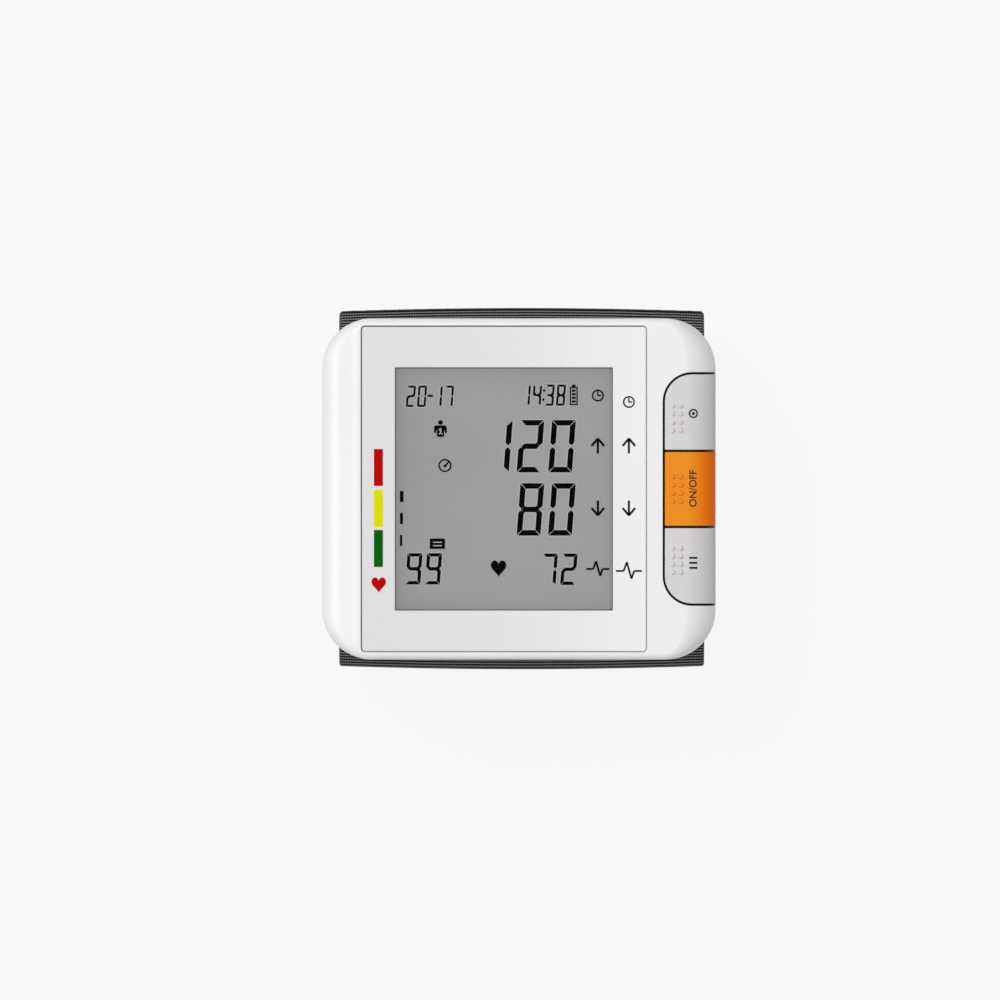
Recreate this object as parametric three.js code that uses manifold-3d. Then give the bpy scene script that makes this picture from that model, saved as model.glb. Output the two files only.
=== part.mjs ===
// Wrist blood pressure monitor: a two-part case with a display, three side buttons and a battery door,
// standing on its closed wrist cuff. Millimetres, +Z up. The origin is under the middle of the cuff, X runs
// along the wrist, +Y towards the upper edge of the display, and the display faces +Z.
import * as THREE from "three";
import { mergeVertices } from "three/addons/utils/BufferGeometryUtils.js";
import Module from "manifold-3d";

const wasm = await Module();
wasm.setup();

// Clearances
const seam = 0.1; // between flat faces that are pressed together
const layerGap = 0.3; // between curved layers, and round pieces that fit in holes
const buttonGap = 0.4; // the dark line round each button
const grooveGap = 0.25; // the fine line round the display panel

// Cuff
const cuffWidth = 69.9;
const cuffShift = 0.55; // of the cuff towards the buttons
const cuffDepth = 68.6;
const cuffHeight = 60;
const cuffRadius = 22; // corners of the sleeve's outline
const coverThickness = 1.0;
const stiffenerThickness = 1.0;
const bladderThickness = 1.2;
const linerThickness = 1.0;
const strapThickness = 1.8;
const hookThickness = 0.6;
const hookMargin = 4; // bare strap beside the patch
const hookLength = 20; // along the flat stretch under the cuff
const strapTipAngle = 48; // how far the strap climbs the far corner, in degrees
const hookTipAngle = 44;
const sleeveEndAngle = -45; // where the sleeve stops inside the strap, in degrees round the near corner
const shoulderEndAngle = 20; // where the stiffener and bladder stop on the shoulder
const edgeTapeWidth = 1.5;
const arcSteps = 9;

// Case
const caseWidth = 75;
const caseEndRoom = 5.25; // from the battery bay's end walls to the outside
const caseRise = 26.7; // from the saddle on the cuff to the display face
const caseCorner = 9.5;
const wall = 1.8;
const topWall = 3.0;
const rimDrop = 6; // how far the saddle's rims reach down beside the cuff
const lidHeight = 8; // front case, from the parting line up
const leftEdgeRadius = 7.2;
const rightEdgeRadius = 6;
const longEdgeRadius = 1.3;
const leastEdgeRadius = 0.2;
const topCorner = 1.5; // what is left of the left corners at the display face
const outerSteps = { corner: 7, edge: 4 };
const innerSteps = { corner: 4, edge: 3 };

// Display
const panelLeftMargin = 7.6; // case showing at the panel's left, right and long sides
const panelRightMargin = 13.3;
const panelLongMargin = 1.6;
const panelCorner = 0.6;
const panelThickness = 1.5;
const windowMargin = 6.3; // panel showing at the window's left and right
const windowLongMargin = 7.75;
const windowRecess = 0.4;
const lensFlange = 2;
const ledgeWidth = 1.2; // what carries the lens flange
const ledgeThickness = 1.4;
const lensFlangeThickness = 1.0;
const lcdThickness = 2.2;
const lcdMargin = 0.6;
const windowCorner = 0.4;
const lensPlay = 0.15; // between the lens face and the panel round it

// Buttons
const buttonRowWidth = 10.1;
const buttonRowMargin = 10.25; // case showing beyond the row's ends
const buttonRowCorner = 5.6;
const powerButtonDepth = 14.5;
const buttonWall = 1.5;
const buttonTravel = 0.5;
const stemWidth = 3;

// Electronics
const boardThickness = 1.6;
const boardPlay = 0.2;
const boardRightMargin = 2.6;
const boardLongMargin = 7.7;
const frameWall = 1.6;
const stripMargin = 4; // from the strips' ends to the frame
const chipSize = 10;
const chipHeight = 1.4;
const buzzerRadius = 6;
const buzzerHeight = 3;
const sensorSize = 7;
const sensorHeight = 4;
const nozzleLength = 1.2;
const switchWidth = 5;
const switchHeight = 3.5;
const plungerRadius = 1.6;
const plungerStandOut = 1.2;
const plungerDepth = 2.1;

// Batteries
const cellRadius = 5.25;
const cellLength = 43.7;
const nubRadius = 1.9;
const nubLength = 0.8;
const springRoom = 6;
const springWire = 0.6;
const springTurns = 4;
const springStepsPerTurn = 8;
const springNarrow = 2.2;
const springWide = 3.8;
const contactThickness = 0.4;
const contactWidth = 7.7;
const bayWall = 1.2;
const cellPlay = 0.5; // between the cells and the wall beside them
const doorMargin = 1.0;

// Pneumatics
const motorRadius = 6.2;
const motorLength = 20;
const pumpHeadLength = 11;
const valveRadius = 5;
const valveLength = 13;
const manifoldWidth = 8.6;
const manifoldHeight = 6.5;
const tubeRadius = 1.7;
const tubeBend = 3;
const portRadius = 2.4;
const portBore = 1.0;
const portFlange = 1.6;
const portFlangeHeight = 1.0;
const sealWidth = 1.2;
const sealHeight = 0.8;

// Screws
const screwShankRadius = 1.0;
const screwHeadRadius = 2.0;
const screwHeadHeight = 1.5;
const bossRadius = 3.2;
const lidBossRadius = 2.6;
const standoffRadius = 2.2;
const threadPlay = 0.15;
const caseScrewSeat = 10; // from the saddle's rims up to the screw heads
const boardScrewGrip = 6;
const rivetRadius = 1.5;
const rivetHeadRadius = 3;
const rivetHeadHeight = 0.9;
const rivetTip = 1; // what stands out above the case floor

// Places in plan, from the middle or from the piece that carries them
const portX = 4;
const motorMargin = 15.5;
const motorEnd = -3;
const valveStart = 9;
const sensorInset = 12.8;
const chipInset = 28.8;
const buzzerInset = 14.8;
const chipY = -15;
const leftScrewMargin = [17.5, 4];
const rightScrewMargin = [9, 5.7];
const leftBoardScrew = [4.3, 6.8];
const rightBoardScrew = [10.4, 12.8];

// Levels and places worked out from the sizes above
const saddle = cuffHeight + layerGap;
const top = saddle + caseRise;
const parting = top - lidHeight;
const floorTop = saddle + wall;
const rim = cuffHeight - rimDrop;
const bayHalf = (cellLength + nubLength + springRoom) / 2 + layerGap;
const contactOuter = bayHalf + contactThickness;
const bayEnd = contactOuter + seam;
const halfWidth = caseWidth / 2;
const halfDepth = bayEnd + bayWall + caseEndRoom;
const caseDepth = 2 * halfDepth;
const cellX = -halfWidth + wall + cellPlay + cellRadius;
const partitionX = cellX + cellRadius + cellPlay;
const bayRight = partitionX + bayWall;
const panelLeft = -halfWidth + panelLeftMargin;
const panelRight = halfWidth - panelRightMargin;
const panelHalfDepth = halfDepth - panelLongMargin;
const windowLeft = panelLeft + windowMargin;
const windowRight = panelRight - windowMargin;
const windowHalfDepth = panelHalfDepth - windowLongMargin;
const buttonRowLeft = halfWidth - buttonRowWidth;
const buttonRowHalf = halfDepth - buttonRowMargin;
const boardLeft = bayRight + boardPlay;
const boardRight = halfWidth - boardRightMargin;
const boardHalfDepth = halfDepth - boardLongMargin;
const motorX = halfWidth - motorMargin;
const rivetX = motorX;
const sensorX = boardLeft + sensorInset;
const caseScrews = [
  [-halfWidth + leftScrewMargin[0], halfDepth - leftScrewMargin[1]],
  [-halfWidth + leftScrewMargin[0], -halfDepth + leftScrewMargin[1]],
  [halfWidth - rightScrewMargin[0], halfDepth - rightScrewMargin[1]],
  [halfWidth - rightScrewMargin[0], -halfDepth + rightScrewMargin[1]],
];
const boardScrews = [
  [boardLeft + leftBoardScrew[0], boardHalfDepth - leftBoardScrew[1]],
  [boardLeft + leftBoardScrew[0], -boardHalfDepth + leftBoardScrew[1]],
  [boardRight - rightBoardScrew[0], boardHalfDepth - rightBoardScrew[1]],
];
const strapOffset = strapThickness + layerGap + hookThickness + layerGap;
const sideY = cuffDepth / 2;

// Materials
function finish(color, roughness, metalness = 0) {
  return new THREE.MeshStandardMaterial({ color, roughness, metalness });
}
const whitePlastic = finish(0xf2f1f1, 0.4);
const panelPlastic = finish(0xe4e4e4, 0.45);
const clearPlastic = finish(0xd8dcdc, 0.1);
const lcdGrey = finish(0x9a9a9a, 0.35);
const greyPlastic = finish(0xcfccd0, 0.4);
const orangePlastic = finish(0xe88a28, 0.4);
const darkPlastic = finish(0x2b2b2d, 0.6);
const boardGreen = finish(0x1f6b3a, 0.5);
const steel = finish(0xb9bcc0, 0.3, 1);
const cellJacket = finish(0x3a5f8a, 0.35, 0.3);
const silicone = finish(0xdedbd2, 0.6);
const ribbedFabric = finish(0x2e2e31, 0.95);
const softFabric = finish(0x3c3c40, 0.95);
const bladderFilm = finish(0x7f8892, 0.5);

// Solid helpers
function solid(geometry) {
  const bare = geometry.clone();
  bare.deleteAttribute("normal");
  bare.deleteAttribute("uv");
  const merged = mergeVertices(bare, 1e-4);
  return new wasm.Manifold(
    new wasm.Mesh({
      numProp: 3,
      vertProperties: new Float32Array(merged.attributes.position.array),
      triVerts: new Uint32Array(merged.index.array),
    }),
  );
}

function part(name, shape, material, x = 0, y = 0, z = 0) {
  const data = shape.getMesh();
  const geometry = new THREE.BufferGeometry();
  geometry.setAttribute("position", new THREE.BufferAttribute(data.vertProperties, 3));
  geometry.setIndex(new THREE.BufferAttribute(data.triVerts, 1));
  geometry.computeVertexNormals();
  const mesh = new THREE.Mesh(geometry, material);
  mesh.name = name;
  mesh.position.set(x, y, z);
  return mesh;
}

function assembly(x, y, z) {
  const group = new THREE.Group();
  group.position.set(x, y, z);
  return group;
}

function box(x0, x1, y0, y1, z0, z1) {
  const geometry = new THREE.BoxGeometry(x1 - x0, y1 - y0, z1 - z0);
  geometry.translate((x0 + x1) / 2, (y0 + y1) / 2, (z0 + z1) / 2);
  return solid(geometry);
}

// A round bar along "x", "y" or "z", from one coordinate to another, centred on the other two.
function bar(axis, radius, from, to, u, v, sides = 16) {
  const geometry = new THREE.CylinderGeometry(radius, radius, to - from, sides);
  const middle = (from + to) / 2;
  if (axis === "y") geometry.translate(u, middle, v);
  if (axis === "z") geometry.rotateX(Math.PI / 2).translate(u, v, middle);
  if (axis === "x") geometry.rotateZ(-Math.PI / 2).translate(middle, u, v);
  return solid(geometry);
}

function roundedRectangle(x0, x1, y0, y1, radius) {
  const shape = new THREE.Shape();
  shape.moveTo(x1, y0 + radius);
  shape.lineTo(x1, y1 - radius);
  shape.absarc(x1 - radius, y1 - radius, radius, 0, Math.PI / 2);
  shape.lineTo(x0 + radius, y1);
  shape.absarc(x0 + radius, y1 - radius, radius, Math.PI / 2, Math.PI);
  shape.lineTo(x0, y0 + radius);
  shape.absarc(x0 + radius, y0 + radius, radius, Math.PI, 1.5 * Math.PI);
  shape.lineTo(x1 - radius, y0);
  shape.absarc(x1 - radius, y0 + radius, radius, 1.5 * Math.PI, 2 * Math.PI);
  return shape;
}

function prism(shape, z0, z1, curveSegments = 5) {
  const geometry = new THREE.ExtrudeGeometry(shape, { depth: z1 - z0, bevelEnabled: false, curveSegments });
  geometry.translate(0, 0, z0);
  return solid(geometry);
}

function union(first, ...others) {
  return others.reduce((sum, next) => sum.add(next), first);
}

// Case block: rounded-rectangle rings stacked in Z up to a ceiling. The left, right and long edges each have
// their own rounding, and inset draws the whole block in by a wall.
function caseBlock(inset, bottom, ceiling, steps = innerSteps) {
  const left = leftEdgeRadius - inset;
  const right = rightEdgeRadius - inset;
  const long = Math.max(longEdgeRadius - inset, leastEdgeRadius);
  const corner = caseCorner - inset;
  const drawIn = (radius, z) => {
    const above = Math.max(z - (ceiling - radius), 0);
    return radius - Math.sqrt(Math.max(radius * radius - above * above, 0));
  };
  const levels = [bottom];
  for (const radius of [left, right, long])
    for (let step = 0; step <= steps.edge; step++)
      levels.push(ceiling - radius * (1 - Math.sin((step / steps.edge) * (Math.PI / 2))));
  const heights = levels.sort((a, b) => a - b).filter((z, i) => i === 0 || z - levels[i - 1] > 0.05);
  const positions = [];
  for (const z of heights) {
    const x0 = -halfWidth + inset + drawIn(left, z);
    const x1 = halfWidth - inset - drawIn(right, z);
    const y1 = halfDepth - inset - drawIn(long, z);
    const leftCorner = THREE.MathUtils.lerp(corner, Math.min(topCorner, corner), drawIn(left, z) / left);
    const rightCorner = [corner - drawIn(right, z), corner - drawIn(long, z)];
    const corners = [
      [x1, y1, 1, 1, ...rightCorner],
      [x0, y1, -1, 1, leftCorner, leftCorner],
      [x0, -y1, -1, -1, leftCorner, leftCorner],
      [x1, -y1, 1, -1, ...rightCorner],
    ];
    corners.forEach(([x, y, sideX, sideY, radiusX, radiusY], quarter) => {
      for (let step = 0; step <= steps.corner; step++) {
        const angle = (quarter + step / steps.corner) * (Math.PI / 2);
        const px = x - sideX * radiusX + radiusX * Math.cos(angle);
        const py = y - sideY * radiusY + radiusY * Math.sin(angle);
        positions.push(px, py, z);
      }
    });
  }
  const count = 4 * (steps.corner + 1);
  const index = [];
  for (let level = 0; level + 1 < heights.length; level++)
    for (let i = 0; i < count; i++) {
      const a = level * count + i;
      const b = level * count + ((i + 1) % count);
      index.push(a, b, b + count, a, b + count, a + count);
    }
  const last = (heights.length - 1) * count;
  for (let i = 1; i + 1 < count; i++) {
    index.push(0, i + 1, i);
    index.push(last, last + i, last + i + 1);
  }
  const geometry = new THREE.BufferGeometry();
  geometry.setAttribute("position", new THREE.Float32BufferAttribute(positions, 3));
  geometry.setIndex(index);
  return solid(geometry);
}

// A tube along a smooth curve through points
function hose(points, radius, steps, sides = 8) {
  const section = new THREE.Shape();
  for (let i = 0; i < sides; i++) {
    const angle = (i / sides) * 2 * Math.PI;
    const corner = [radius * Math.cos(angle), radius * Math.sin(angle)];
    if (i === 0) section.moveTo(...corner);
    else section.lineTo(...corner);
  }
  const extrudePath = new THREE.CatmullRomCurve3(points);
  return solid(new THREE.ExtrudeGeometry(section, { steps, extrudePath, bevelEnabled: false }));
}

// A screw whose head sits under z = 0 and whose shank points up
function screw(name, length, x, y, z) {
  const head = bar("z", screwHeadRadius, -screwHeadHeight, 0, 0, 0);
  const shank = bar("z", screwShankRadius, -screwHeadHeight / 2, length, 0, 0, 10);
  return part(name, head.add(shank), steel, x, y, z);
}

// Cuff bands: a path in the Y-Z plane of lines and arcs, given a thickness and run along X.
function arc(cy, cz, radius, from, to) {
  const points = [];
  for (let step = 0; step <= arcSteps; step++) {
    const angle = THREE.MathUtils.degToRad(from + ((to - from) * step) / arcSteps);
    points.push(new THREE.Vector2(cy + radius * Math.cos(angle), cz + radius * Math.sin(angle)));
  }
  return points;
}

const lowCorner = strapOffset + cuffRadius; // height of the lower corners' centres
const highCorner = cuffHeight - cuffRadius;
const nearCorner = sideY - strapOffset - cuffRadius; // +Y corner, inside the strap
const farCorner = -(sideY - cuffRadius);
const shoulderCorner = sideY - cuffRadius;

// The sleeve from its free end, under the cuff and up the far side, to the shoulder beside the strap.
function sleevePath(depth, startAngle, shoulderAngle) {
  const r = cuffRadius - depth;
  return [
    ...arc(nearCorner, lowCorner, r, startAngle, -90),
    ...arc(farCorner, lowCorner, r, -90, -180),
    ...arc(farCorner, highCorner, r, 180, 90),
    ...arc(shoulderCorner, highCorner, r, 90, shoulderAngle),
  ];
}

function strapPath(depth) {
  const r = cuffRadius + strapOffset - depth;
  return [
    new THREE.Vector2(sideY - depth, highCorner - layerGap),
    ...arc(nearCorner, lowCorner, r, 0, -90),
    ...arc(farCorner, lowCorner, r, -90, -90 - strapTipAngle),
  ];
}

function hookPath(depth) {
  const r = cuffRadius + strapOffset - depth;
  return [
    new THREE.Vector2(farCorner + hookLength, lowCorner - r),
    ...arc(farCorner, lowCorner, r, -90, -90 - hookTipAngle),
  ];
}

function runAlongX(points, x0, x1) {
  const shape = new THREE.Shape(points);
  const geometry = new THREE.ExtrudeGeometry(shape, { depth: x1 - x0, bevelEnabled: false });
  const turn = new THREE.Matrix4().makeBasis(
    new THREE.Vector3(0, 1, 0),
    new THREE.Vector3(0, 0, 1),
    new THREE.Vector3(1, 0, 0),
  );
  geometry.applyMatrix4(turn).translate(x0, 0, 0);
  return solid(geometry);
}

function band(path, outer, thickness, x0, x1) {
  return runAlongX([...path(outer), ...path(outer + thickness).reverse()], x0, x1);
}

// Wrist cuff: cover, stiffener, bladder and liner are nested bands, with edge tape between them at the sides.
const cuff = assembly(0, 0, 0);
const stiffenerDepth = coverThickness + layerGap;
const bladderDepth = stiffenerDepth + stiffenerThickness + layerGap;
const linerDepth = bladderDepth + bladderThickness + layerGap;
const tapeThickness = linerDepth - layerGap - stiffenerDepth;
const cuffLeft = cuffShift - cuffWidth / 2;
const cuffRight = cuffShift + cuffWidth / 2;
const innerLeft = cuffLeft + edgeTapeWidth + layerGap;
const innerRight = cuffRight - edgeTapeWidth - layerGap;
const wholeSleeve = (depth) => sleevePath(depth, sleeveEndAngle, 0);
const innerSleeve = (depth) => sleevePath(depth, sleeveEndAngle, shoulderEndAngle);

// The air port and the two rivets pass through cover, stiffener and saddle.
const holeBottom = cuffHeight - linerDepth;
const holeTop = floorTop + wall;
const portHole = bar("z", portRadius + layerGap, cuffHeight - bladderDepth - layerGap, holeTop, portX, 0);
const rivetHoles = [-rivetX, rivetX].map((x) => bar("z", rivetRadius + layerGap, holeBottom, holeTop, x, 0));
const throughHoles = union(portHole, ...rivetHoles);
const headRoomTop = cuffHeight - bladderDepth + layerGap;
const headRooms = [-rivetX, rivetX].map((x) =>
  bar("z", rivetHeadRadius + layerGap, holeBottom, headRoomTop, x, 0),
);
const rivetHeadRoom = union(...headRooms);
const cover = band(wholeSleeve, 0, coverThickness, cuffLeft, cuffRight);
const stiffener = band(innerSleeve, stiffenerDepth, stiffenerThickness, innerLeft, innerRight);
const bladder = band(innerSleeve, bladderDepth, bladderThickness, innerLeft, innerRight);
const liner = band(wholeSleeve, linerDepth, linerThickness, cuffLeft, cuffRight);
const tape = band(innerSleeve, stiffenerDepth, tapeThickness, 0, edgeTapeWidth);
cuff.add(
  part("cuff_cover", cover.subtract(throughHoles), ribbedFabric),
  part("cuff_stiffener", stiffener.subtract(throughHoles), darkPlastic),
  part("air_bladder", bladder.subtract(rivetHeadRoom), bladderFilm),
  part("cuff_liner", liner, softFabric),
  part("edge_tape_left", tape, softFabric, cuffLeft),
  part("edge_tape_right", tape, softFabric, cuffRight - edgeTapeWidth),
);

// Rivets that hold the cuff to the saddle, head inwards
const rivetLength = floorTop + rivetTip - (cuffHeight - bladderDepth);
const rivet = bar("z", rivetHeadRadius, -rivetHeadHeight, 0, 0, 0).add(
  bar("z", rivetRadius, -rivetHeadHeight / 2, rivetLength, 0, 0),
);
cuff.add(
  part("cuff_rivet_left", rivet, steel, -rivetX, 0, cuffHeight - bladderDepth),
  part("cuff_rivet_right", rivet, steel, rivetX, 0, cuffHeight - bladderDepth),
);

// Closing strap, hinged at its outer face below the shoulder, with a hook patch facing the sleeve
const strap = assembly(0, 0, 0);
const hookLeft = cuffLeft + hookMargin;
const hookRight = cuffRight - hookMargin;
const hookDepth = strapThickness + layerGap;
strap.add(
  part("strap_band", band(strapPath, 0, strapThickness, cuffLeft, cuffRight), ribbedFabric),
  part("hook_patch", band(hookPath, hookDepth, hookThickness, hookLeft, hookRight), darkPlastic),
);

// The outline of the closed cuff, grown by a margin, shapes the saddle under the case.
function cuffBlock(margin) {
  const half = sideY + margin;
  const outline = roundedRectangle(-half, half, -margin, cuffHeight + margin, cuffRadius + margin);
  return runAlongX(outline.getPoints(arcSteps), -caseWidth, caseWidth);
}

// Battery bay at the left end of the case: two cells, one above the other, lying along Y
const lowCellZ = floorTop + layerGap + cellRadius;
const highCellZ = lowCellZ + 2 * cellRadius + layerGap;

// Rear case: a tub with the saddle, the battery bay, the door opening and columns for the screws
const rear = assembly(0, 0, 0);
const rearTop = parting - seam;
const boardBottom = parting - layerGap - boardThickness;
const underParting = box(-caseWidth, caseWidth, -caseDepth, caseDepth, 0, rearTop);
const tub = caseBlock(0, rim, top, outerSteps).intersect(underParting);
const room = caseBlock(wall, rim + wall, top + wall).subtract(cuffBlock(layerGap + wall));
let columns = union(
  box(-caseWidth, bayRight, bayEnd, bayEnd + bayWall, rim, rearTop),
  box(-caseWidth, bayRight, -bayEnd - bayWall, -bayEnd, rim, rearTop),
  box(partitionX, bayRight, -bayEnd - seam, bayEnd + seam, rim, boardBottom - layerGap),
);
let bores = cuffBlock(layerGap).add(throughHoles);
const caseScrewSeatZ = rim + caseScrewSeat;
for (const [x, y] of caseScrews) {
  columns = columns.add(bar("z", bossRadius, rim, rearTop, x, y));
  bores = bores.add(bar("z", screwHeadRadius + layerGap, rim - wall, caseScrewSeatZ, x, y));
  bores = bores.add(bar("z", screwShankRadius + layerGap, rim, top, x, y));
}
for (const [x, y] of boardScrews) {
  columns = columns.add(bar("z", standoffRadius, rim, boardBottom - seam, x, y));
  bores = bores.add(bar("z", screwShankRadius + threadPlay, boardBottom - boardScrewGrip - wall, top, x, y));
}
const doorHalf = halfDepth - caseCorner;
const doorBottom = floorTop + doorMargin;
const doorTop = parting - doorMargin;
const doorOpening = box(-caseWidth, -halfWidth + wall, -doorHalf, doorHalf, doorBottom, doorTop);
const rearCase = tub.subtract(room).add(columns.intersect(tub)).subtract(bores).subtract(doorOpening);
const doorEdge = doorHalf - layerGap;
const door = box(0, wall, -doorEdge, doorEdge, layerGap, doorTop - doorBottom - layerGap);
rear.add(
  part("rear_case", rearCase, whitePlastic),
  part("battery_door", door, whitePlastic, -halfWidth, 0, doorBottom),
);
const caseScrewLength = top - topWall - wall - caseScrewSeatZ;
caseScrews.forEach(([x, y], i) => {
  rear.add(screw(`case_screw_${i + 1}`, caseScrewLength, x, y, caseScrewSeatZ - seam));
});

// One cell with its spring, tip towards +Y. The upper one is turned round.
function cellAssembly(level, z, turn) {
  const cell = assembly(cellX, 0, z);
  cell.rotation.z = turn;
  const tip = bayHalf - layerGap;
  const shoulder = tip - nubLength;
  const flat = shoulder - cellLength;
  const jacket = bar("y", cellRadius, flat, shoulder, 0, 0, 20);
  const nub = bar("y", nubRadius, shoulder - nubLength, tip, 0, 0, 12);
  const wireRadius = springWire / 2;
  const near = flat - layerGap - wireRadius;
  const far = -bayHalf + layerGap + wireRadius;
  const points = [];
  const springSteps = springTurns * springStepsPerTurn;
  for (let step = 0; step <= springSteps; step++) {
    const share = step / springSteps;
    const angle = (step / springStepsPerTurn) * 2 * Math.PI;
    const radius = THREE.MathUtils.lerp(springNarrow, springWide, share);
    const y = THREE.MathUtils.lerp(near, far, share);
    points.push(new THREE.Vector3(radius * Math.cos(angle), y, radius * Math.sin(angle)));
  }
  let leastGap = Infinity;
  for (let i = 0; i < points.length; i++)
    for (let j = i + springStepsPerTurn / 2; j < points.length; j++)
      leastGap = Math.min(leastGap, points[i].distanceTo(points[j]) - springWire);
  console.log(`battery_spring_${level}: least gap to itself ${leastGap.toFixed(2)} mm`);
  cell.add(
    part(`battery_cell_${level}`, jacket.add(nub), cellJacket),
    part(`battery_spring_${level}`, hose(points, wireRadius, springSteps, 5), steel),
  );
  return cell;
}

const contactHalf = contactWidth / 2;
function contactPlate(name, y, z0, z1) {
  const plate = box(-contactHalf, contactHalf, 0, contactThickness, 0, z1 - z0);
  return part(name, plate, steel, cellX, y, z0);
}
const batteries = assembly(0, 0, 0);
batteries.add(
  cellAssembly("lower", lowCellZ, 0),
  cellAssembly("upper", highCellZ, Math.PI),
  contactPlate("battery_bridge_contact", bayHalf, lowCellZ - contactHalf, highCellZ + nubRadius),
  contactPlate("battery_contact_lower", -contactOuter, lowCellZ - contactHalf, lowCellZ + contactHalf),
  contactPlate("battery_contact_upper", -contactOuter, highCellZ - contactHalf, highCellZ + nubRadius),
);

// Pump, valve and air passages, standing on the floor of the rear case
const air = assembly(0, 0, floorTop);
const motorZ = layerGap + motorRadius;
const headHalf = motorRadius + layerGap;
const pumpHead = box(-headHalf, headHalf, seam, pumpHeadLength, -motorRadius, motorRadius);
const rivetRoomTop = -motorRadius + rivetTip + layerGap;
const rivetRoom = bar("z", rivetRadius + layerGap, -motorZ, rivetRoomTop, rivetX - motorX, -motorEnd);
const flangeBase = seam + sealHeight + seam;
const manifoldBottom = flangeBase + portFlangeHeight + seam;
const manifoldHalf = manifoldWidth / 2;
const airZ = manifoldBottom + manifoldHeight / 2;
const sealInner = portRadius + layerGap;
const sealProfile = [
  new THREE.Vector2(sealInner, 0),
  new THREE.Vector2(sealInner + sealWidth, 0),
  new THREE.Vector2(sealInner + sealWidth, sealHeight),
  new THREE.Vector2(sealInner, sealHeight),
  new THREE.Vector2(sealInner, 0),
];
const seal = solid(new THREE.LatheGeometry(sealProfile, 20).rotateX(Math.PI / 2));
const portTop = flangeBase + portFlangeHeight;
const portBottom = cuffHeight - bladderDepth + layerGap - floorTop;
const port = bar("z", portRadius, portBottom, portTop, 0, 0)
  .add(bar("z", portRadius + portFlange, flangeBase, portTop, 0, 0))
  .subtract(bar("z", portBore, portBottom - wall, portTop + wall, 0, 0, 10));
const valve = bar("y", valveRadius, 0, valveLength, 0, 0, 18);
const manifold = box(-manifoldHalf, manifoldHalf, -manifoldHalf, manifoldHalf, 0, manifoldHeight);
air.add(
  part("pump_motor", bar("y", motorRadius, -motorLength, 0, 0, 0, 20), steel, motorX, motorEnd, motorZ),
  part("pump_head", pumpHead.subtract(rivetRoom), darkPlastic, motorX, motorEnd, motorZ),
  part("port_seal", seal, silicone, portX, 0, seam),
  part("air_port", port, greyPlastic, portX),
  part("air_manifold", manifold, greyPlastic, portX, 0, manifoldBottom),
  part("release_valve", valve, steel, portX, valveStart, valveRadius + layerGap),
);

// Silicone tubes from the manifold to the pump, the valve and the pressure sensor
const manifoldFace = manifoldHalf + layerGap;
const pumpRun = motorX - headHalf - layerGap - portX;
const valveRun = valveStart - layerGap;
const sensorRun = sensorX - portX;
const nozzleZ = boardBottom - seam - sensorHeight - nozzleLength - floorTop - airZ;
const bendMiddle = tubeBend * (1 - Math.SQRT1_2);
const pumpTube = [new THREE.Vector3(manifoldFace, 0, 0), new THREE.Vector3(pumpRun, 0, 0)];
const valveTube = [new THREE.Vector3(0, manifoldFace, 0), new THREE.Vector3(0, valveRun, 0)];
const sensorTube = [
  new THREE.Vector3(-manifoldFace, 0, 0),
  new THREE.Vector3(-manifoldFace - tubeRadius, 0, 0),
  new THREE.Vector3(sensorRun + tubeBend, 0, 0),
  new THREE.Vector3(sensorRun + bendMiddle, 0, bendMiddle),
  new THREE.Vector3(sensorRun, 0, tubeBend),
  new THREE.Vector3(sensorRun, 0, nozzleZ - layerGap),
];
const tubes = assembly(portX, 0, airZ);
tubes.add(
  part("pump_tube", hose(pumpTube, tubeRadius, 2), silicone),
  part("valve_tube", hose(valveTube, tubeRadius, 2), silicone),
  part("sensor_tube", hose(sensorTube, tubeRadius, 14), silicone),
);
air.add(tubes);

// Main board on its standoffs. Its group has the board's top face at z = 0.
const boardZ = parting - layerGap;
const electronics = assembly(0, 0, boardZ);
let board = box(boardLeft, boardRight, -boardHalfDepth, boardHalfDepth, -boardThickness, 0);
for (const [x, y] of caseScrews)
  board = board.subtract(bar("z", bossRadius + layerGap, -boardThickness - seam, seam, x, y));
for (const [x, y] of boardScrews)
  board = board.subtract(bar("z", screwShankRadius + layerGap, -boardThickness - seam, seam, x, y));
electronics.add(part("main_board", board, boardGreen));
boardScrews.forEach(([x, y], i) => {
  const boardScrew = screw(`board_screw_${i + 1}`, boardThickness + boardScrewGrip, x, y, seam);
  boardScrew.rotation.x = Math.PI;
  electronics.add(boardScrew);
});

// What hangs under the board
const underside = -boardThickness - seam;
const chipHalf = chipSize / 2;
const chip = box(-chipHalf, chipHalf, -chipHalf, chipHalf, -chipHeight, 0);
const buzzer = bar("z", buzzerRadius, -buzzerHeight, 0, 0, 0, 20);
const sensorHalf = sensorSize / 2;
const nozzle = bar("z", tubeRadius, -sensorHeight - nozzleLength, -sensorHeight / 2, 0, 0, 12);
const sensor = box(-sensorHalf, sensorHalf, -sensorHalf, sensorHalf, -sensorHeight, 0).add(nozzle);
electronics.add(
  part("control_chip", chip, darkPlastic, boardLeft + chipInset, chipY, underside),
  part("buzzer", buzzer, darkPlastic, boardLeft + buzzerInset, chipY, underside),
  part("pressure_sensor", sensor, darkPlastic, sensorX, 0, underside),
);

// Lid: its group has the display face at z = 0.
const lid = assembly(0, 0, top);
const lidBottom = -lidHeight;
const panelBottom = -panelThickness;
const flangeTop = panelBottom - seam;
const flangeBottom = flangeTop - lensFlangeThickness;
const ledgeTop = flangeBottom - seam;
const ledgeBottom = ledgeTop - ledgeThickness;
const lcdBottom = ledgeTop - lcdThickness;
const boardFace = boardZ - top;

function windowPrism(margin, z0, z1) {
  const half = windowHalfDepth + margin;
  const corner = windowCorner + Math.max(margin, 0);
  const outline = roundedRectangle(windowLeft - margin, windowRight + margin, -half, half, corner);
  return prism(outline, z0, z1, 3);
}

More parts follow.
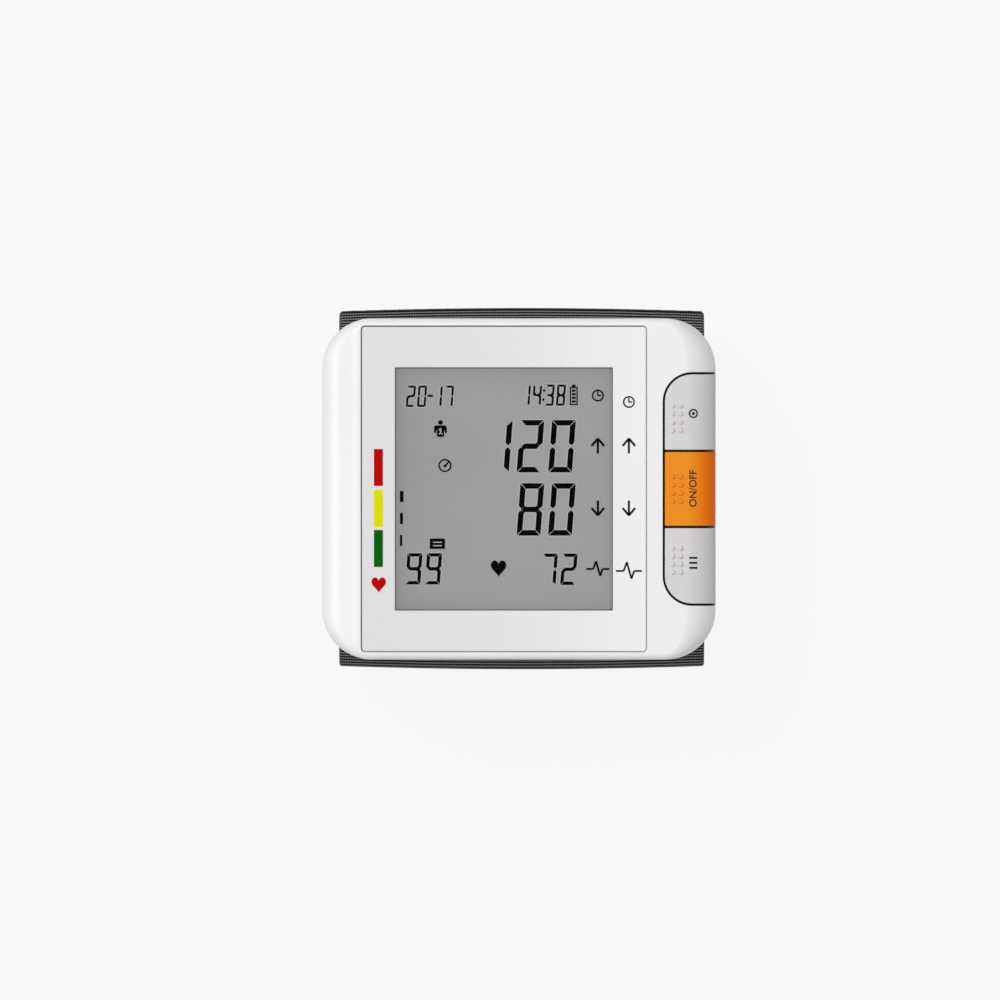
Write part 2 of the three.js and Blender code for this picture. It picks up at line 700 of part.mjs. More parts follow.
function panelPrism(margin, z0, z1) {
  const half = panelHalfDepth + margin;
  const corner = panelCorner + margin;
  const outline = roundedRectangle(panelLeft - margin, panelRight + margin, -half, half, corner);
  return prism(outline, z0, z1, 4);
}

// Display: panel, stepped lens, liquid crystal glass, its frame and the rubber contact strips
const panel = panelPrism(0, panelBottom, 0).subtract(windowPrism(0, panelBottom - seam, seam));
const lensFace = windowPrism(-lensPlay, flangeBottom, -windowRecess);
const lens = windowPrism(lensFlange, flangeBottom, flangeTop).add(lensFace);
const frameLow = boardFace + seam;
const frameHigh = lcdBottom - seam;
const frameLeft = boardLeft + seam;
const frameRight = windowRight + lcdMargin;
const frameHalf = windowHalfDepth + lcdMargin;
const frameInnerHalf = frameHalf - frameWall;
const frameBlock = box(frameLeft, frameRight, -frameHalf, frameHalf, frameLow, frameHigh);
const frameRoom = box(
  frameLeft + frameWall,
  frameRight - frameWall,
  -frameInnerHalf,
  frameInnerHalf,
  frameLow - seam,
  frameHigh + seam,
);
const stripHalf = (frameRight - frameLeft) / 2 - frameWall - stripMargin;
const strip = box(-stripHalf, stripHalf, -frameWall / 2, frameWall / 2, frameLow, frameHigh);
const stripX = (frameLeft + frameRight) / 2;
const stripY = frameInnerHalf - layerGap - frameWall / 2;
lid.add(
  part("display_panel", panel, panelPlastic),
  part("display_lens", lens, clearPlastic),
  part("lcd_module", windowPrism(lcdMargin, lcdBottom, ledgeTop), lcdGrey),
  part("lcd_frame", frameBlock.subtract(frameRoom), whitePlastic),
  part("lcd_strip_upper", strip, silicone, stripX, stripY),
  part("lcd_strip_lower", strip, silicone, stripX, -stripY),
);

// Plan outline of a button, open to the right, with its left corners rounded where it ends the row
function buttonPrism(x0, y0, y1, lowRadius, highRadius, bottom) {
  const shape = new THREE.Shape();
  shape.moveTo(caseWidth, y0);
  shape.lineTo(caseWidth, y1);
  shape.lineTo(x0 + highRadius, y1);
  if (highRadius > 0) shape.absarc(x0 + highRadius, y1 - highRadius, highRadius, Math.PI / 2, Math.PI);
  shape.lineTo(x0, y0 + lowRadius);
  if (lowRadius > 0) shape.absarc(x0 + lowRadius, y0 + lowRadius, lowRadius, Math.PI, 1.5 * Math.PI);
  return prism(shape, bottom, seam, 5);
}

// Three hollow buttons that wrap over the right edge, each pressing a switch on the board
const buttonLeft = buttonRowLeft + buttonGap;
const buttonCorner = buttonRowCorner - buttonGap;
const rowEnd = buttonRowHalf - buttonGap;
const powerHalf = powerButtonDepth / 2;
const split = buttonGap / 2;
const skirtBottom = lidBottom + buttonTravel + layerGap;
const switchX = (buttonLeft + halfWidth) / 2;
const switchHalf = switchWidth / 2;
const switchTop = switchHeight;
const wellBottom = switchTop - plungerDepth;
const plungerTop = switchTop + plungerStandOut;
const stemBottom = boardFace + seam + plungerTop + layerGap;
const stemHalf = stemWidth / 2;
const switchBody = box(-switchHalf, switchHalf, -switchHalf, switchHalf, 0, switchTop).subtract(
  bar("z", plungerRadius + layerGap, wellBottom, plungerTop, 0, 0, 12),
);
const plunger = bar("z", plungerRadius, wellBottom + buttonTravel + layerGap, plungerTop, 0, 0, 12);
const buttons = [
  { name: "set", y0: powerHalf + split, y1: rowEnd, low: 0, high: buttonCorner, material: greyPlastic },
  { name: "power", y0: -powerHalf + split, y1: powerHalf - split, low: 0, high: 0, material: orangePlastic },
  { name: "memory", y0: -rowEnd, y1: -powerHalf - split, low: buttonCorner, high: 0, material: greyPlastic },
];
for (const { name, y0, y1, low, high, material } of buttons) {
  const middle = (y0 + y1) / 2;
  const hollowLeft = buttonLeft + buttonWall;
  const hollow = box(hollowLeft, halfWidth, y0 + buttonWall, y1 - buttonWall, lidBottom, 0).intersect(
    caseBlock(buttonWall, lidBottom, -buttonWall),
  );
  const shell = caseBlock(0, skirtBottom, 0, outerSteps)
    .intersect(buttonPrism(buttonLeft, y0, y1, low, high, skirtBottom))
    .subtract(hollow);
  const stem = box(
    switchX - stemHalf,
    switchX + stemHalf,
    middle - stemHalf,
    middle + stemHalf,
    stemBottom,
    -buttonWall / 2,
  );
  lid.add(part(`${name}_button`, shell.add(stem), material));
  electronics.add(
    part(`${name}_switch`, switchBody, darkPlastic, switchX, middle, seam),
    part(`${name}_switch_plunger`, plunger, whitePlastic, switchX, middle, seam),
  );
}

// Front case: a shell with the panel recess, the lens ledge, the button opening and four screw bosses
let frontCase = caseBlock(0, lidBottom, 0, outerSteps)
  .subtract(caseBlock(wall, lidBottom - wall, -topWall))
  .add(windowPrism(lensFlange + ledgeWidth, ledgeBottom, flangeTop));
let lidBores = panelPrism(grooveGap, panelBottom - seam, seam)
  .add(windowPrism(lensFlange + layerGap, ledgeTop, 0))
  .add(windowPrism(lcdMargin + layerGap, ledgeBottom - seam, 0))
  .add(
    buttonPrism(
      buttonRowLeft,
      -buttonRowHalf,
      buttonRowHalf,
      buttonRowCorner,
      buttonRowCorner,
      lidBottom - seam,
    ),
  );
for (const [x, y] of caseScrews) {
  frontCase = frontCase.add(bar("z", lidBossRadius, lidBottom, -topWall + seam, x, y));
  const boreTop = -topWall - wall + layerGap;
  lidBores = lidBores.add(bar("z", screwShankRadius + threadPlay, lidBottom - seam, boreTop, x, y));
}
lid.add(part("front_case", frontCase.subtract(lidBores), whitePlastic));

const monitor = assembly(0, 0, 0);
monitor.add(cuff, strap, rear, batteries, air, electronics, lid);
export default monitor;
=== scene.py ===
import bpy
import math
from mathutils import Matrix, Vector


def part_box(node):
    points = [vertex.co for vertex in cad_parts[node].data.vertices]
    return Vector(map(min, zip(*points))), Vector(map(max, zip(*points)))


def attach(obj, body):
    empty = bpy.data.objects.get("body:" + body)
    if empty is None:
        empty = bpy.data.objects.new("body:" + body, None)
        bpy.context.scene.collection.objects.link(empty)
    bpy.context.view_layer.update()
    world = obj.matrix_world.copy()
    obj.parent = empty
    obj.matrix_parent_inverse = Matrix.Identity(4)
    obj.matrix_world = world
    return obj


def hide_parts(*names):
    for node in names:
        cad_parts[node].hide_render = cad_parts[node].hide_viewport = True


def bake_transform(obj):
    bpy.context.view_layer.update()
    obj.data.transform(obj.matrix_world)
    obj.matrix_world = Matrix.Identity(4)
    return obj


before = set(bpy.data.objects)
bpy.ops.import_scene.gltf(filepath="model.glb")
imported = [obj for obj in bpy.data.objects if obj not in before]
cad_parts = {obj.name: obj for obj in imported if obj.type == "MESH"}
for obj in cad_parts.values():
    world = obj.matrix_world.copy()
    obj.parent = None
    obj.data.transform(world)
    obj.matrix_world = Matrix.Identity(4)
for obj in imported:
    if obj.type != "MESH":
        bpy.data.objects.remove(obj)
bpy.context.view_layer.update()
MM = 0.001

# Photographer's camera: straight above the display with a very long lens, so that the case shows its face
# and only a thin strip of cuff beyond its long sides.
display_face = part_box("display_panel")[1].z
frame_width = 190.5 * MM
frame_middle = (-3.6 * MM, -2.1 * MM)
camera_distance = 7.5
camera_data = bpy.data.cameras.new("photo_camera")
camera_data.sensor_width = 36
camera_data.lens = camera_data.sensor_width * camera_distance / frame_width
camera_data.clip_end = 20
camera = bpy.data.objects.new("photo_camera", camera_data)
camera.location = (*frame_middle, display_face + camera_distance)
bpy.context.scene.collection.objects.link(camera)
bpy.context.scene.camera = camera
bpy.context.scene.view_settings.view_transform = "Standard"

# Studio: a pale table under the object, a soft lamp high at the upper left, a low one at the left that lights
# the bullnose, and an even white room. The table glows to the lens, so that it photographs white and keeps
# the shadow.
table_size = 30
table_tone = (0.5, 0.5, 0.5, 1)
glow_share = 0.9
room_light = 0.49


def fresh_material(name):
    """A new material, with its tree of nodes and its shader."""
    material = bpy.data.materials.new(name)
    material.use_nodes = True
    return material, material.node_tree, material.node_tree.nodes["Principled BSDF"]


def fill_sockets(tree, node, sockets):
    """Fills sockets of a node, each with a plain value or with another node's output."""
    for socket, value in sockets.items():
        if isinstance(value, bpy.types.NodeSocket):
            tree.links.new(value, node.inputs[socket])
        else:
            node.inputs[socket].default_value = value


def new_node(tree, kind, sockets):
    node = tree.nodes.new("ShaderNode" + kind)
    fill_sockets(tree, node, sockets)
    return node


def reckoned(tree, operation, *feeds):
    """The result of a sum on plain values and other nodes' outputs."""
    reckoning = new_node(tree, "Math", dict(enumerate(feeds)))
    reckoning.operation = operation
    return reckoning.outputs[0]


def soft_lamp(name, place, size, power):
    lamp_data = bpy.data.lights.new(name, "AREA")
    lamp_data.shape = "DISK"
    lamp_data.size = size
    lamp_data.energy = power
    lamp = bpy.data.objects.new(name, lamp_data)
    lamp.location = place
    aim = Vector((0, 0, display_face)) - Vector(place)
    lamp.rotation_euler = aim.to_track_quat("-Z", "Y").to_euler()
    bpy.context.scene.collection.objects.link(lamp)


bpy.ops.object.select_all(action="DESELECT")
bpy.ops.mesh.primitive_plane_add(size=table_size)
table_top = bpy.context.object
table_top.name = "studio_table"
table_paint, table_tree, surface = fresh_material("table_white")
fill_sockets(table_tree, surface, {"Base Color": table_tone, "Roughness": 0.9, "Specular IOR Level": 0.1})
glow = new_node(table_tree, "Emission", {"Strength": 1.0})
rays = new_node(table_tree, "LightPath", {}).outputs
seen = reckoned(table_tree, "MAXIMUM", rays["Is Camera Ray"], rays["Is Glossy Ray"])
seen = reckoned(table_tree, "MAXIMUM", seen, rays["Is Transmission Ray"])
share = reckoned(table_tree, "MULTIPLY", seen, glow_share)
mixed = {"Fac": share, 1: surface.outputs["BSDF"], 2: glow.outputs["Emission"]}
blend_white = new_node(table_tree, "MixShader", mixed)
table_finish = table_tree.nodes["Material Output"]
fill_sockets(table_tree, table_finish, {"Surface": blend_white.outputs["Shader"]})
table_top.data.materials.append(table_paint)
soft_lamp("top_lamp", (-0.47, 0.5, 2.15), 0.6, 22.3)
soft_lamp("left_lamp", (-1.72, 0.15, 0.2), 0.9, 8)
room = bpy.data.worlds.new("studio_room")
room.use_nodes = True
room_glow = room.node_tree.nodes["Background"]
fill_sockets(room.node_tree, room_glow, {"Color": (1, 1, 1, 1), "Strength": room_light})
bpy.context.scene.world = room

# Lid of the case: the top half, moulded in white plastic with a fine satin grain. Its left end is a broad
# bullnose, its right end is rounder than the long sides. It has a shallow tray with a window for the display
# panel, an opening at the right end for the button row, and meets the tub at a parting line.
case_half_width, case_half_depth, case_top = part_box("front_case")[1]
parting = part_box("front_case")[0].z
plan_corner = 9.5 * MM
left_rounding = 7.2 * MM
right_rounding = 6.0 * MM
long_rounding = 1.3 * MM
least_rounding = 0.2 * MM
top_corner = 1.5 * MM
wall = 1.8 * MM
corner_steps = 14
rounding_steps = 10
least_rise = 0.03 * MM
same_place = 1e-6
grain_depth = 0.06 * MM
grain_gloss = 0.06
panel_low, panel_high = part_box("display_panel")
lens_low, lens_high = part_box("display_lens")
past = 1 * MM
lid_thickness = 3 * MM
lid_edge = 0.15 * MM
panel_play = 0.05 * MM
groove = 0.22 * MM
groove_sink = 0.9 * MM
panel_corner = 0.6 * MM
tray_floor = panel_low.z - 0.1 * MM
lens_edge = 0.3 * MM
lens_corner = 2 * MM
window_depth = 10 * MM
row_low_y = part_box("memory_button")[0].y
row_high_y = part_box("set_button")[1].y
row_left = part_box("set_button")[0].x
button_gap = 0.4 * MM
row_corner = 5.6 * MM
row_reach = 5 * MM


def draw_in(radius, height, ceiling):
    """How far a rounded edge has drawn in at a height below its ceiling."""
    above = max(height - (ceiling - radius), 0)
    return radius - math.sqrt(max(radius * radius - above * above, 0))


def meshed(name, verts, faces):
    mesh = bpy.data.meshes.new(name)
    mesh.from_pydata(verts, [], faces)
    mesh.update()
    piece = bpy.data.objects.new(name, mesh)
    bpy.context.scene.collection.objects.link(piece)
    return piece


def case_block(name, inset, bottom, ceiling):
    """The case's outside, drawn in by a wall: rings of one outline, stacked and skinned."""
    left = left_rounding - inset
    right = right_rounding - inset
    long = max(long_rounding - inset, least_rounding)
    corner = plan_corner - inset
    levels = {bottom}
    for radius in (left, right, long):
        for step in range(rounding_steps + 1):
            levels.add(ceiling - radius * (1 - math.sin(step / rounding_steps * math.pi / 2)))
    heights = []
    for level in sorted(levels):
        if level >= bottom and (not heights or level - heights[-1] > least_rise):
            heights.append(level)
    verts = []
    for height in heights:
        left_in, right_in, long_in = (draw_in(radius, height, ceiling) for radius in (left, right, long))
        x0 = -case_half_width + inset + left_in
        x1 = case_half_width - inset - right_in
        y1 = case_half_depth - inset - long_in
        near = corner + (min(top_corner, corner) - corner) * left_in / left
        far_x, far_y = corner - right_in, corner - long_in
        corners = [(x1, y1, 1, 1, far_x, far_y), (x0, y1, -1, 1, near, near),
                   (x0, -y1, -1, -1, near, near), (x1, -y1, 1, -1, far_x, far_y)]
        for quarter, (x, y, side_x, side_y, rx, ry) in enumerate(corners):
            for step in range(corner_steps + 1):
                angle = (quarter + step / corner_steps) * math.pi / 2
                verts.append((x - side_x * rx + rx * math.cos(angle),
                              y - side_y * ry + ry * math.sin(angle), height))
    count = 4 * (corner_steps + 1)
    faces = [tuple(range(count - 1, -1, -1))]
    for level in range(len(heights) - 1):
        for i in range(count):
            a, b = level * count + i, level * count + (i + 1) % count
            faces.append((a, b, b + count, a + count))
    last = (len(heights) - 1) * count
    faces.append(tuple(range(last, last + count)))
    return meshed(name, verts, faces)


def only(*pieces):
    bpy.ops.object.select_all(action="DESELECT")
    for piece in pieces:
        piece.select_set(True)
    bpy.context.view_layer.objects.active = pieces[0]


def round_edges(block, chosen, radius, segments):
    """Rounds those edges of a block whose two ends pass a test."""
    bpy.ops.object.mode_set(mode="EDIT")
    bpy.ops.mesh.select_mode(type="EDGE")
    bpy.ops.mesh.select_all(action="DESELECT")
    bpy.ops.object.mode_set(mode="OBJECT")
    for edge in block.data.edges:
        start, end = (block.data.vertices[i].co for i in edge.vertices)
        edge.select = chosen(start, end)
    bpy.ops.object.mode_set(mode="EDIT")
    bpy.ops.mesh.bevel(offset=radius, segments=segments)
    bpy.ops.object.mode_set(mode="OBJECT")


def rounded_block(name, low, high, corner=0.0, segments=8, along=2):
    """A box between two corners, with the edges that run along one axis rounded."""
    bpy.ops.object.select_all(action="DESELECT")
    bpy.ops.mesh.primitive_cube_add(size=1, location=(Vector(low) + Vector(high)) / 2)
    block = bpy.context.object
    block.name = name
    block.scale = Vector(high) - Vector(low)
    bpy.ops.object.transform_apply(location=True, rotation=True, scale=True)
    if corner > 0:
        round_edges(block, lambda a, b: abs(a[along] - b[along]) > same_place, corner, segments)
    return block


def grown_block(name, low, high, margin, bottom, top, corner, segments=8):
    """A block over a rectangle that is grown by a margin on all four sides."""
    block_low = (low.x - margin, low.y - margin, bottom)
    block_high = (high.x + margin, high.y + margin, top)
    return rounded_block(name, block_low, block_high, corner, segments)


def row_block(name, x0, y0, y1, low_corner, high_corner, bottom):
    """A block over the right end of the case, with its left corners rounded where it ends the row."""
    x1 = case_half_width + row_reach
    block = rounded_block(name, (x0, y0, bottom), (x1, y1, case_top + past))

    def at_corner(point, y):
        return abs(point.x - x0) < same_place and abs(point.y - y) < same_place

    for y, corner in ((y0, low_corner), (y1, high_corner)):
        if corner > 0:
            round_edges(block, lambda a, b, y=y: at_corner(a, y) and at_corner(b, y), corner, 10)
    return block


def cut(piece, cutter, operation="DIFFERENCE"):
    only(piece)
    modifier = piece.modifiers.new("cut", "BOOLEAN")
    modifier.operation = operation
    modifier.solver = "EXACT"
    modifier.object = cutter
    bpy.ops.object.modifier_apply(modifier=modifier.name)
    bpy.data.objects.remove(cutter)


def soften(piece, width, segments=2, angle=35):
    """A small round on every sharp edge, then smooth shading that keeps the flats."""
    only(piece)
    edges = piece.modifiers.new("edges", "BEVEL")
    edges.width = width
    edges.segments = segments
    edges.limit_method = "ANGLE"
    edges.angle_limit = math.radians(angle)
    edges.use_clamp_overlap = True
    bpy.ops.object.modifier_apply(modifier=edges.name)
    bpy.ops.object.shade_smooth_by_angle(angle=math.radians(angle))
    flats = piece.modifiers.new("flats", "WEIGHTED_NORMAL")
    flats.keep_sharp = True
    bpy.ops.object.modifier_apply(modifier=flats.name)


def clouds(tree, place, scale, detail):
    noise = new_node(tree, "TexNoise", {"Scale": scale, "Detail": detail, "Vector": place})
    return noise.outputs["Fac"]


def tones(tree, feed, first, last, start=0.0, finish=1.0):
    """A ramp from one colour to another, over part of a pattern's range."""
    ramp = new_node(tree, "ValToRGB", {"Fac": feed})
    low, high = ramp.color_ramp.elements
    low.position, high.position = start, finish
    low.color, high.color = (*first, 1), (*last, 1)
    return ramp.outputs["Color"]


def spread(tree, feed, least, most):
    """A pattern's values, spread between two others."""
    return new_node(tree, "MapRange", {"Value": feed, "To Min": least, "To Max": most}).outputs["Result"]


def relief(tree, feed, strength, depth):
    bump = new_node(tree, "Bump", {"Height": feed, "Strength": strength, "Distance": depth})
    return bump.outputs["Normal"]


def moulded_plastic(name, colour, roughness, grain=0.06, mottle=0.015, gloss_level=0.5):
    """Injection-moulded plastic: a colour with a faint drift, and a spark-eroded grain in bump and gloss."""
    material, tree, shader = fresh_material(name)
    place = tree.nodes.new("ShaderNodeTexCoord").outputs["Object"]
    tone_drift_and_painted_shade = clouds(tree, place, 45, 3)
    speckle = clouds(tree, place, 4200, 2)
    darker = [c * (1 - mottle) for c in colour]
    paler = [min(c * (1 + mottle), 1) for c in colour]
    gloss = spread(tree, speckle, roughness - grain_gloss, roughness + grain_gloss)
    fill_sockets(tree, shader, {"IOR": 1.48, "Specular IOR Level": gloss_level, "Roughness": gloss,
                                "Base Color": tones(tree, tone_drift_and_painted_shade, darker, paler, 0.3, 0.7),
                                "Normal": relief(tree, speckle, grain, grain_depth)})
    return material


def paint(piece, material):
    piece.data.materials.clear()
    piece.data.materials.append(material)


def dress(piece, material, body, slot, *replaced):
    paint(piece, material)
    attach(piece, body)
    if replaced:
        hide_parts(*replaced)


case_white = moulded_plastic("case_white", (0.86, 0.86, 0.865), 0.36)
lid = case_block("front_case_shell", 0, parting, case_top)
cut(lid, case_block("lid_hollow", wall, parting - wall, case_top - lid_thickness))
for margin, floor in ((panel_play, tray_floor), (groove, case_top - groove_sink)):
    cut(lid, grown_block("panel_tray", panel_low, panel_high, margin, floor, case_top + past,
                         panel_corner + margin))
cut(lid, grown_block("lid_window", lens_low, lens_high, lens_edge, case_top - window_depth, case_top,
                     lens_corner))
cut(lid, row_block("row_opening", row_left - button_gap, row_low_y - button_gap, row_high_y + button_gap,
                   row_corner, row_corner, parting - past))
soften(lid, lid_edge)
dress(lid, case_white, "main_unit", "white_plastic", "front_case")

# Tub of the case: the same white plastic, saddle-shaped underneath to sit on the cuff, with screw holes in
# its rims and a battery bay at the left end that opens through the side.
tub_low, tub_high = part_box("rear_case")
cuff_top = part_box("cuff_cover")[1].z
cuff_half_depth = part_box("cuff_cover")[1].y
cuff_corner = 22 * MM
cuff_steps = 24
saddle_gap = 0.3 * MM
cell_low, cell_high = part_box("battery_cell_lower")
bay_half_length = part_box("battery_bridge_contact")[1].y
bay_wall = 1.2 * MM
bay_right = cell_high.x + 0.5 * MM
bay_left = tub_low.x + 2.6 * MM
bay_bottom = cuff_top + wall / 2
bay_play = 0.1 * MM
bay_top = tub_high.z - 0.2 * MM
partition_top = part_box("main_board")[0].z - 0.3 * MM
partition_overlap = 0.5 * MM
door_low, door_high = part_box("battery_door")
door_gap = 0.3 * MM
screw_hole_radius = 2.3 * MM
screw_hole_reach = 1.6 * MM
tub_edge = 0.2 * MM


def cuff_block(name, margin):
    """The closed cuff's outline, grown by a margin and run along the wrist."""
    reach = 2 * case_half_width
    low = (-reach, -cuff_half_depth - margin, -margin)
    high = (reach, cuff_half_depth + margin, cuff_top + margin)
    return rounded_block(name, low, high, cuff_corner + margin, cuff_steps, along=0)


def started(add, **sizes):
    """A primitive with nothing else selected, and with its place in its mesh."""
    bpy.ops.object.select_all(action="DESELECT")
    add(**sizes)
    bpy.ops.object.transform_apply(location=True, rotation=True, scale=True)
    return bpy.context.object


tub = rounded_block("rear_case_shell", tub_low, tub_high, plan_corner, corner_steps)
tub_room = grown_block("tub_room", tub_low, tub_high, -wall, tub_low.z + wall, tub_high.z + wall,
                       plan_corner - wall, corner_steps)
cut(tub_room, cuff_block("saddle_outside", saddle_gap + wall))
cut(tub, tub_room)
for side in (1, -1):
    near, far = sorted((side * (bay_half_length + bay_play), side * (bay_half_length + bay_play + bay_wall)))
    end_low = (bay_left, near, bay_bottom)
    end_high = (bay_right + bay_wall, far, bay_top)
    cut(tub, rounded_block("bay_end", end_low, end_high), "UNION")
partition_half = bay_half_length + partition_overlap
partition_low = (bay_right, -partition_half, bay_bottom)
partition_high = (bay_right + bay_wall, partition_half, partition_top)
cut(tub, rounded_block("bay_partition", partition_low, partition_high), "UNION")
cut(tub, cuff_block("saddle_seat", saddle_gap))
doorway_low = (door_low.x - past, door_low.y - door_gap, door_low.z - door_gap)
doorway_high = (door_high.x + past, door_high.y + door_gap, door_high.z + door_gap)
cut(tub, rounded_block("doorway", doorway_low, doorway_high))
for number in range(1, 5):
    screw_low, screw_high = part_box(f"case_screw_{number}")
    hole_bottom = tub_low.z - past
    hole_depth = screw_low.z + screw_hole_reach - hole_bottom
    hole_place = ((screw_low.x + screw_high.x) / 2, (screw_low.y + screw_high.y) / 2,
                  hole_bottom + hole_depth / 2)
    cut(tub, started(bpy.ops.mesh.primitive_cylinder_add, vertices=32, radius=screw_hole_radius,
                     depth=hole_depth, location=hole_place))
soften(tub, tub_edge)
dress(tub, case_white, "main_unit", "white_plastic", "rear_case")

# Battery door: a flat plate of the same plastic that is let into the left side and pulls straight out. Thumb
# grooves are moulded across its middle.
groove_pitch = 1.6 * MM
groove_width = 0.7 * MM
groove_depth = 0.4 * MM
groove_corner = 0.3 * MM
groove_half_length = 7 * MM
door_corner = 1.2 * MM
door_edge = 0.12 * MM
door = rounded_block("battery_door_plate", door_low, door_high, door_corner, 5, along=0)
door_middle = (door_low.z + door_high.z) / 2
for number in range(-2, 3):
    height = door_middle + number * groove_pitch
    low = (door_low.x - past, -groove_half_length, height - groove_width / 2)
    high = (door_low.x + groove_depth, groove_half_length, height + groove_width / 2)
    cut(door, rounded_block("thumb_groove", low, high, groove_corner, 4, along=0))
soften(door, door_edge)
dress(door, case_white, "battery_hatch", "white_plastic", "battery_door")

# Display panel: a flat frame of slightly greyer plastic that drops into the lid's tray, with a fine line of
# shadow round it and eased edges round the window. It casts no shadow, so that the glass is evenly lit.
panel_grey = moulded_plastic("panel_grey", (0.79, 0.79, 0.795), 0.42, grain=0.04)
flange = 2 * MM
window_corner = 0.15 * MM
panel_edge = 0.2 * MM
face_low = Vector((lens_low.x + flange, lens_low.y + flange, 0))
face_high = Vector((lens_high.x - flange, lens_high.y - flange, 0))


def painted_shade_ramp(material, start, finish, first, last, curve="LINEAR"):
    """Paints light and shade along x into a plastic's colour, as a ramp from one tone to another."""
    tree = material.node_tree
    place = tree.nodes["Texture Coordinate"].outputs["Object"]
    span = new_node(tree, "Mapping", {"Vector": place})
    span.vector_type = "TEXTURE"
    fill_sockets(tree, span, {"Location": (start, 0, 0), "Scale": [finish - start] * 3})
    fade = new_node(tree, "TexGradient", {"Vector": span.outputs["Vector"]})
    fade.gradient_type = curve
    tone_drift_and_painted_shade = tones(tree, fade.outputs["Fac"], first, last)
    fill_sockets(tree, tree.nodes["Principled BSDF"], {"Base Color": tone_drift_and_painted_shade})


panel = rounded_block("display_panel_frame", panel_low, panel_high, panel_corner)
cut(panel, grown_block("panel_window", face_low, face_high, 0, panel_low.z - past, panel_high.z + past,
                       window_corner, 3))
soften(panel, panel_edge)
dress(panel, panel_grey, "main_unit", "panel_plastic", "display_panel")
panel.visible_shadow = False
# Painted light: the panel's grey is painted paler towards its right end, as if more light falls there.
painted_shade_ramp(panel_grey, panel_low.x, panel_high.x, (0.73, 0.73, 0.735), (0.88, 0.88, 0.885), "QUADRATIC")

# Groove shade: a painted shadow, a fine dark grey strip laid round the panel on the step of the tray, so that
# the groove stays dark on all sides although the panel casts no shadow.
groove_shade_grey = moulded_plastic("groove_shade_grey", (0.32, 0.32, 0.325), 0.6, grain=0.1, gloss_level=0.05)
groove_shade_outside = groove - 0.01 * MM
groove_shade_inside = 0.02 * MM
groove_shade_level = case_top - groove_sink
groove_shade_top = groove_shade_level + 0.08 * MM
groove_shade_strip = grown_block("panel_groove_shade", panel_low, panel_high, groove_shade_outside, groove_shade_level, groove_shade_top,
                   panel_corner + groove_shade_outside)
cut(groove_shade_strip, grown_block("groove_shade_hole", panel_low, panel_high, groove_shade_inside, groove_shade_level - past, groove_shade_level + past,
                      panel_corner + groove_shade_inside))
dress(groove_shade_strip, groove_shade_grey, "main_unit", "silicone")

# Display lens: a clear acrylic pane that fills the window just below the panel's face, with a faint haze of
# wiping. Its flange is held between the panel and a ledge of the lid.
lens_clear, lens_tree, lens_shader = fresh_material("lens_clear")
lens_place = lens_tree.nodes.new("ShaderNodeTexCoord").outputs["Object"]
haze = spread(lens_tree, clouds(lens_tree, lens_place, 60, 4), 0.04, 0.12)
fill_sockets(lens_tree, lens_shader, {"Base Color": (0.01, 0.0102, 0.0102, 1), "IOR": 1.49, "Alpha": 0.05,
                                      "Roughness": haze})
paint(bpy.data.objects["display_lens"], lens_clear)

# Liquid crystal glass: a flat grey reflector with a faint brushed grain behind the lens. It lies on a frame
# that stands on the main board.
lcd_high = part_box("lcd_module")[1]
lcd_grey = moulded_plastic("lcd_grey", (0.425, 0.425, 0.427), 0.6, grain=0.02, mottle=0.02, gloss_level=0.1)
paint(bpy.data.objects["lcd_module"], lcd_grey)

# Window edge shade: a painted shadow, a thin dark strip that lies on the glass round its edge. Its inner edge
# shows just inside the window, where the window's edge shades the glass.
edge_shade_level = lcd_high.z + 0.01 * MM
edge_shade_top = edge_shade_level + 0.06 * MM
edge_shade_shows = 0.2 * MM
edge_shade_hidden = 0.6 * MM
edge_shade_corner = 0.6 * MM
edge_shade_inner_corner = 0.1 * MM
edge_shade_grey = moulded_plastic("edge_shade_grey", (0.2, 0.2, 0.202), 0.6, grain=0.05, gloss_level=0.05)
edge_shade_strip = grown_block("lcd_edge_shade", face_low, face_high, edge_shade_hidden, edge_shade_level, edge_shade_top, edge_shade_corner, 4)
cut(edge_shade_strip, grown_block("edge_shade_hole", face_low, face_high, -edge_shade_shows, edge_shade_level - past, edge_shade_level + past,
                      edge_shade_inner_corner, 2))
dress(edge_shade_strip, edge_shade_grey, "main_unit", "lcd_grey")

# Readings on the glass: slanted seven-segment numbers and small symbols, black where the crystal is switched
# on, with a painted pale halo round them, a painted highlight. Each segment is one hexagonal bar.
PIXEL = 1 / 5.25 * MM
photo_centre = (519, 489)
ink_thickness = 0.03 * MM
glass_level = lcd_high.z + 0.04 * MM
figure_level = glass_level + ink_thickness
halo_level = lcd_high.z + 0.005 * MM
halo_spread = 2.2 * PIXEL
slant = math.tan(math.radians(4.3))
mitre = 0.9
point = 0.46
parting_share = 0.16
arrow_stroke = 2.2
arrow_size = 15
arrow_up_row, arrow_down_row = 446, 508
clock_radius = 6
clock_ring = 1.5
clock_hand = 1.4
pulse_stroke = 1.9
pulse_shape = [(-0.5, 0), (-0.2, 0), (-0.08, -0.34), (0.1, 0.3), (0.2, 0), (0.5, 0)]
lit_segments = {"0": "abcdef", "1": "bc", "2": "abged", "3": "abgcd", "4": "fgbc", "7": "abc", "8": "abcdefg",
                "9": "abcdfg"}
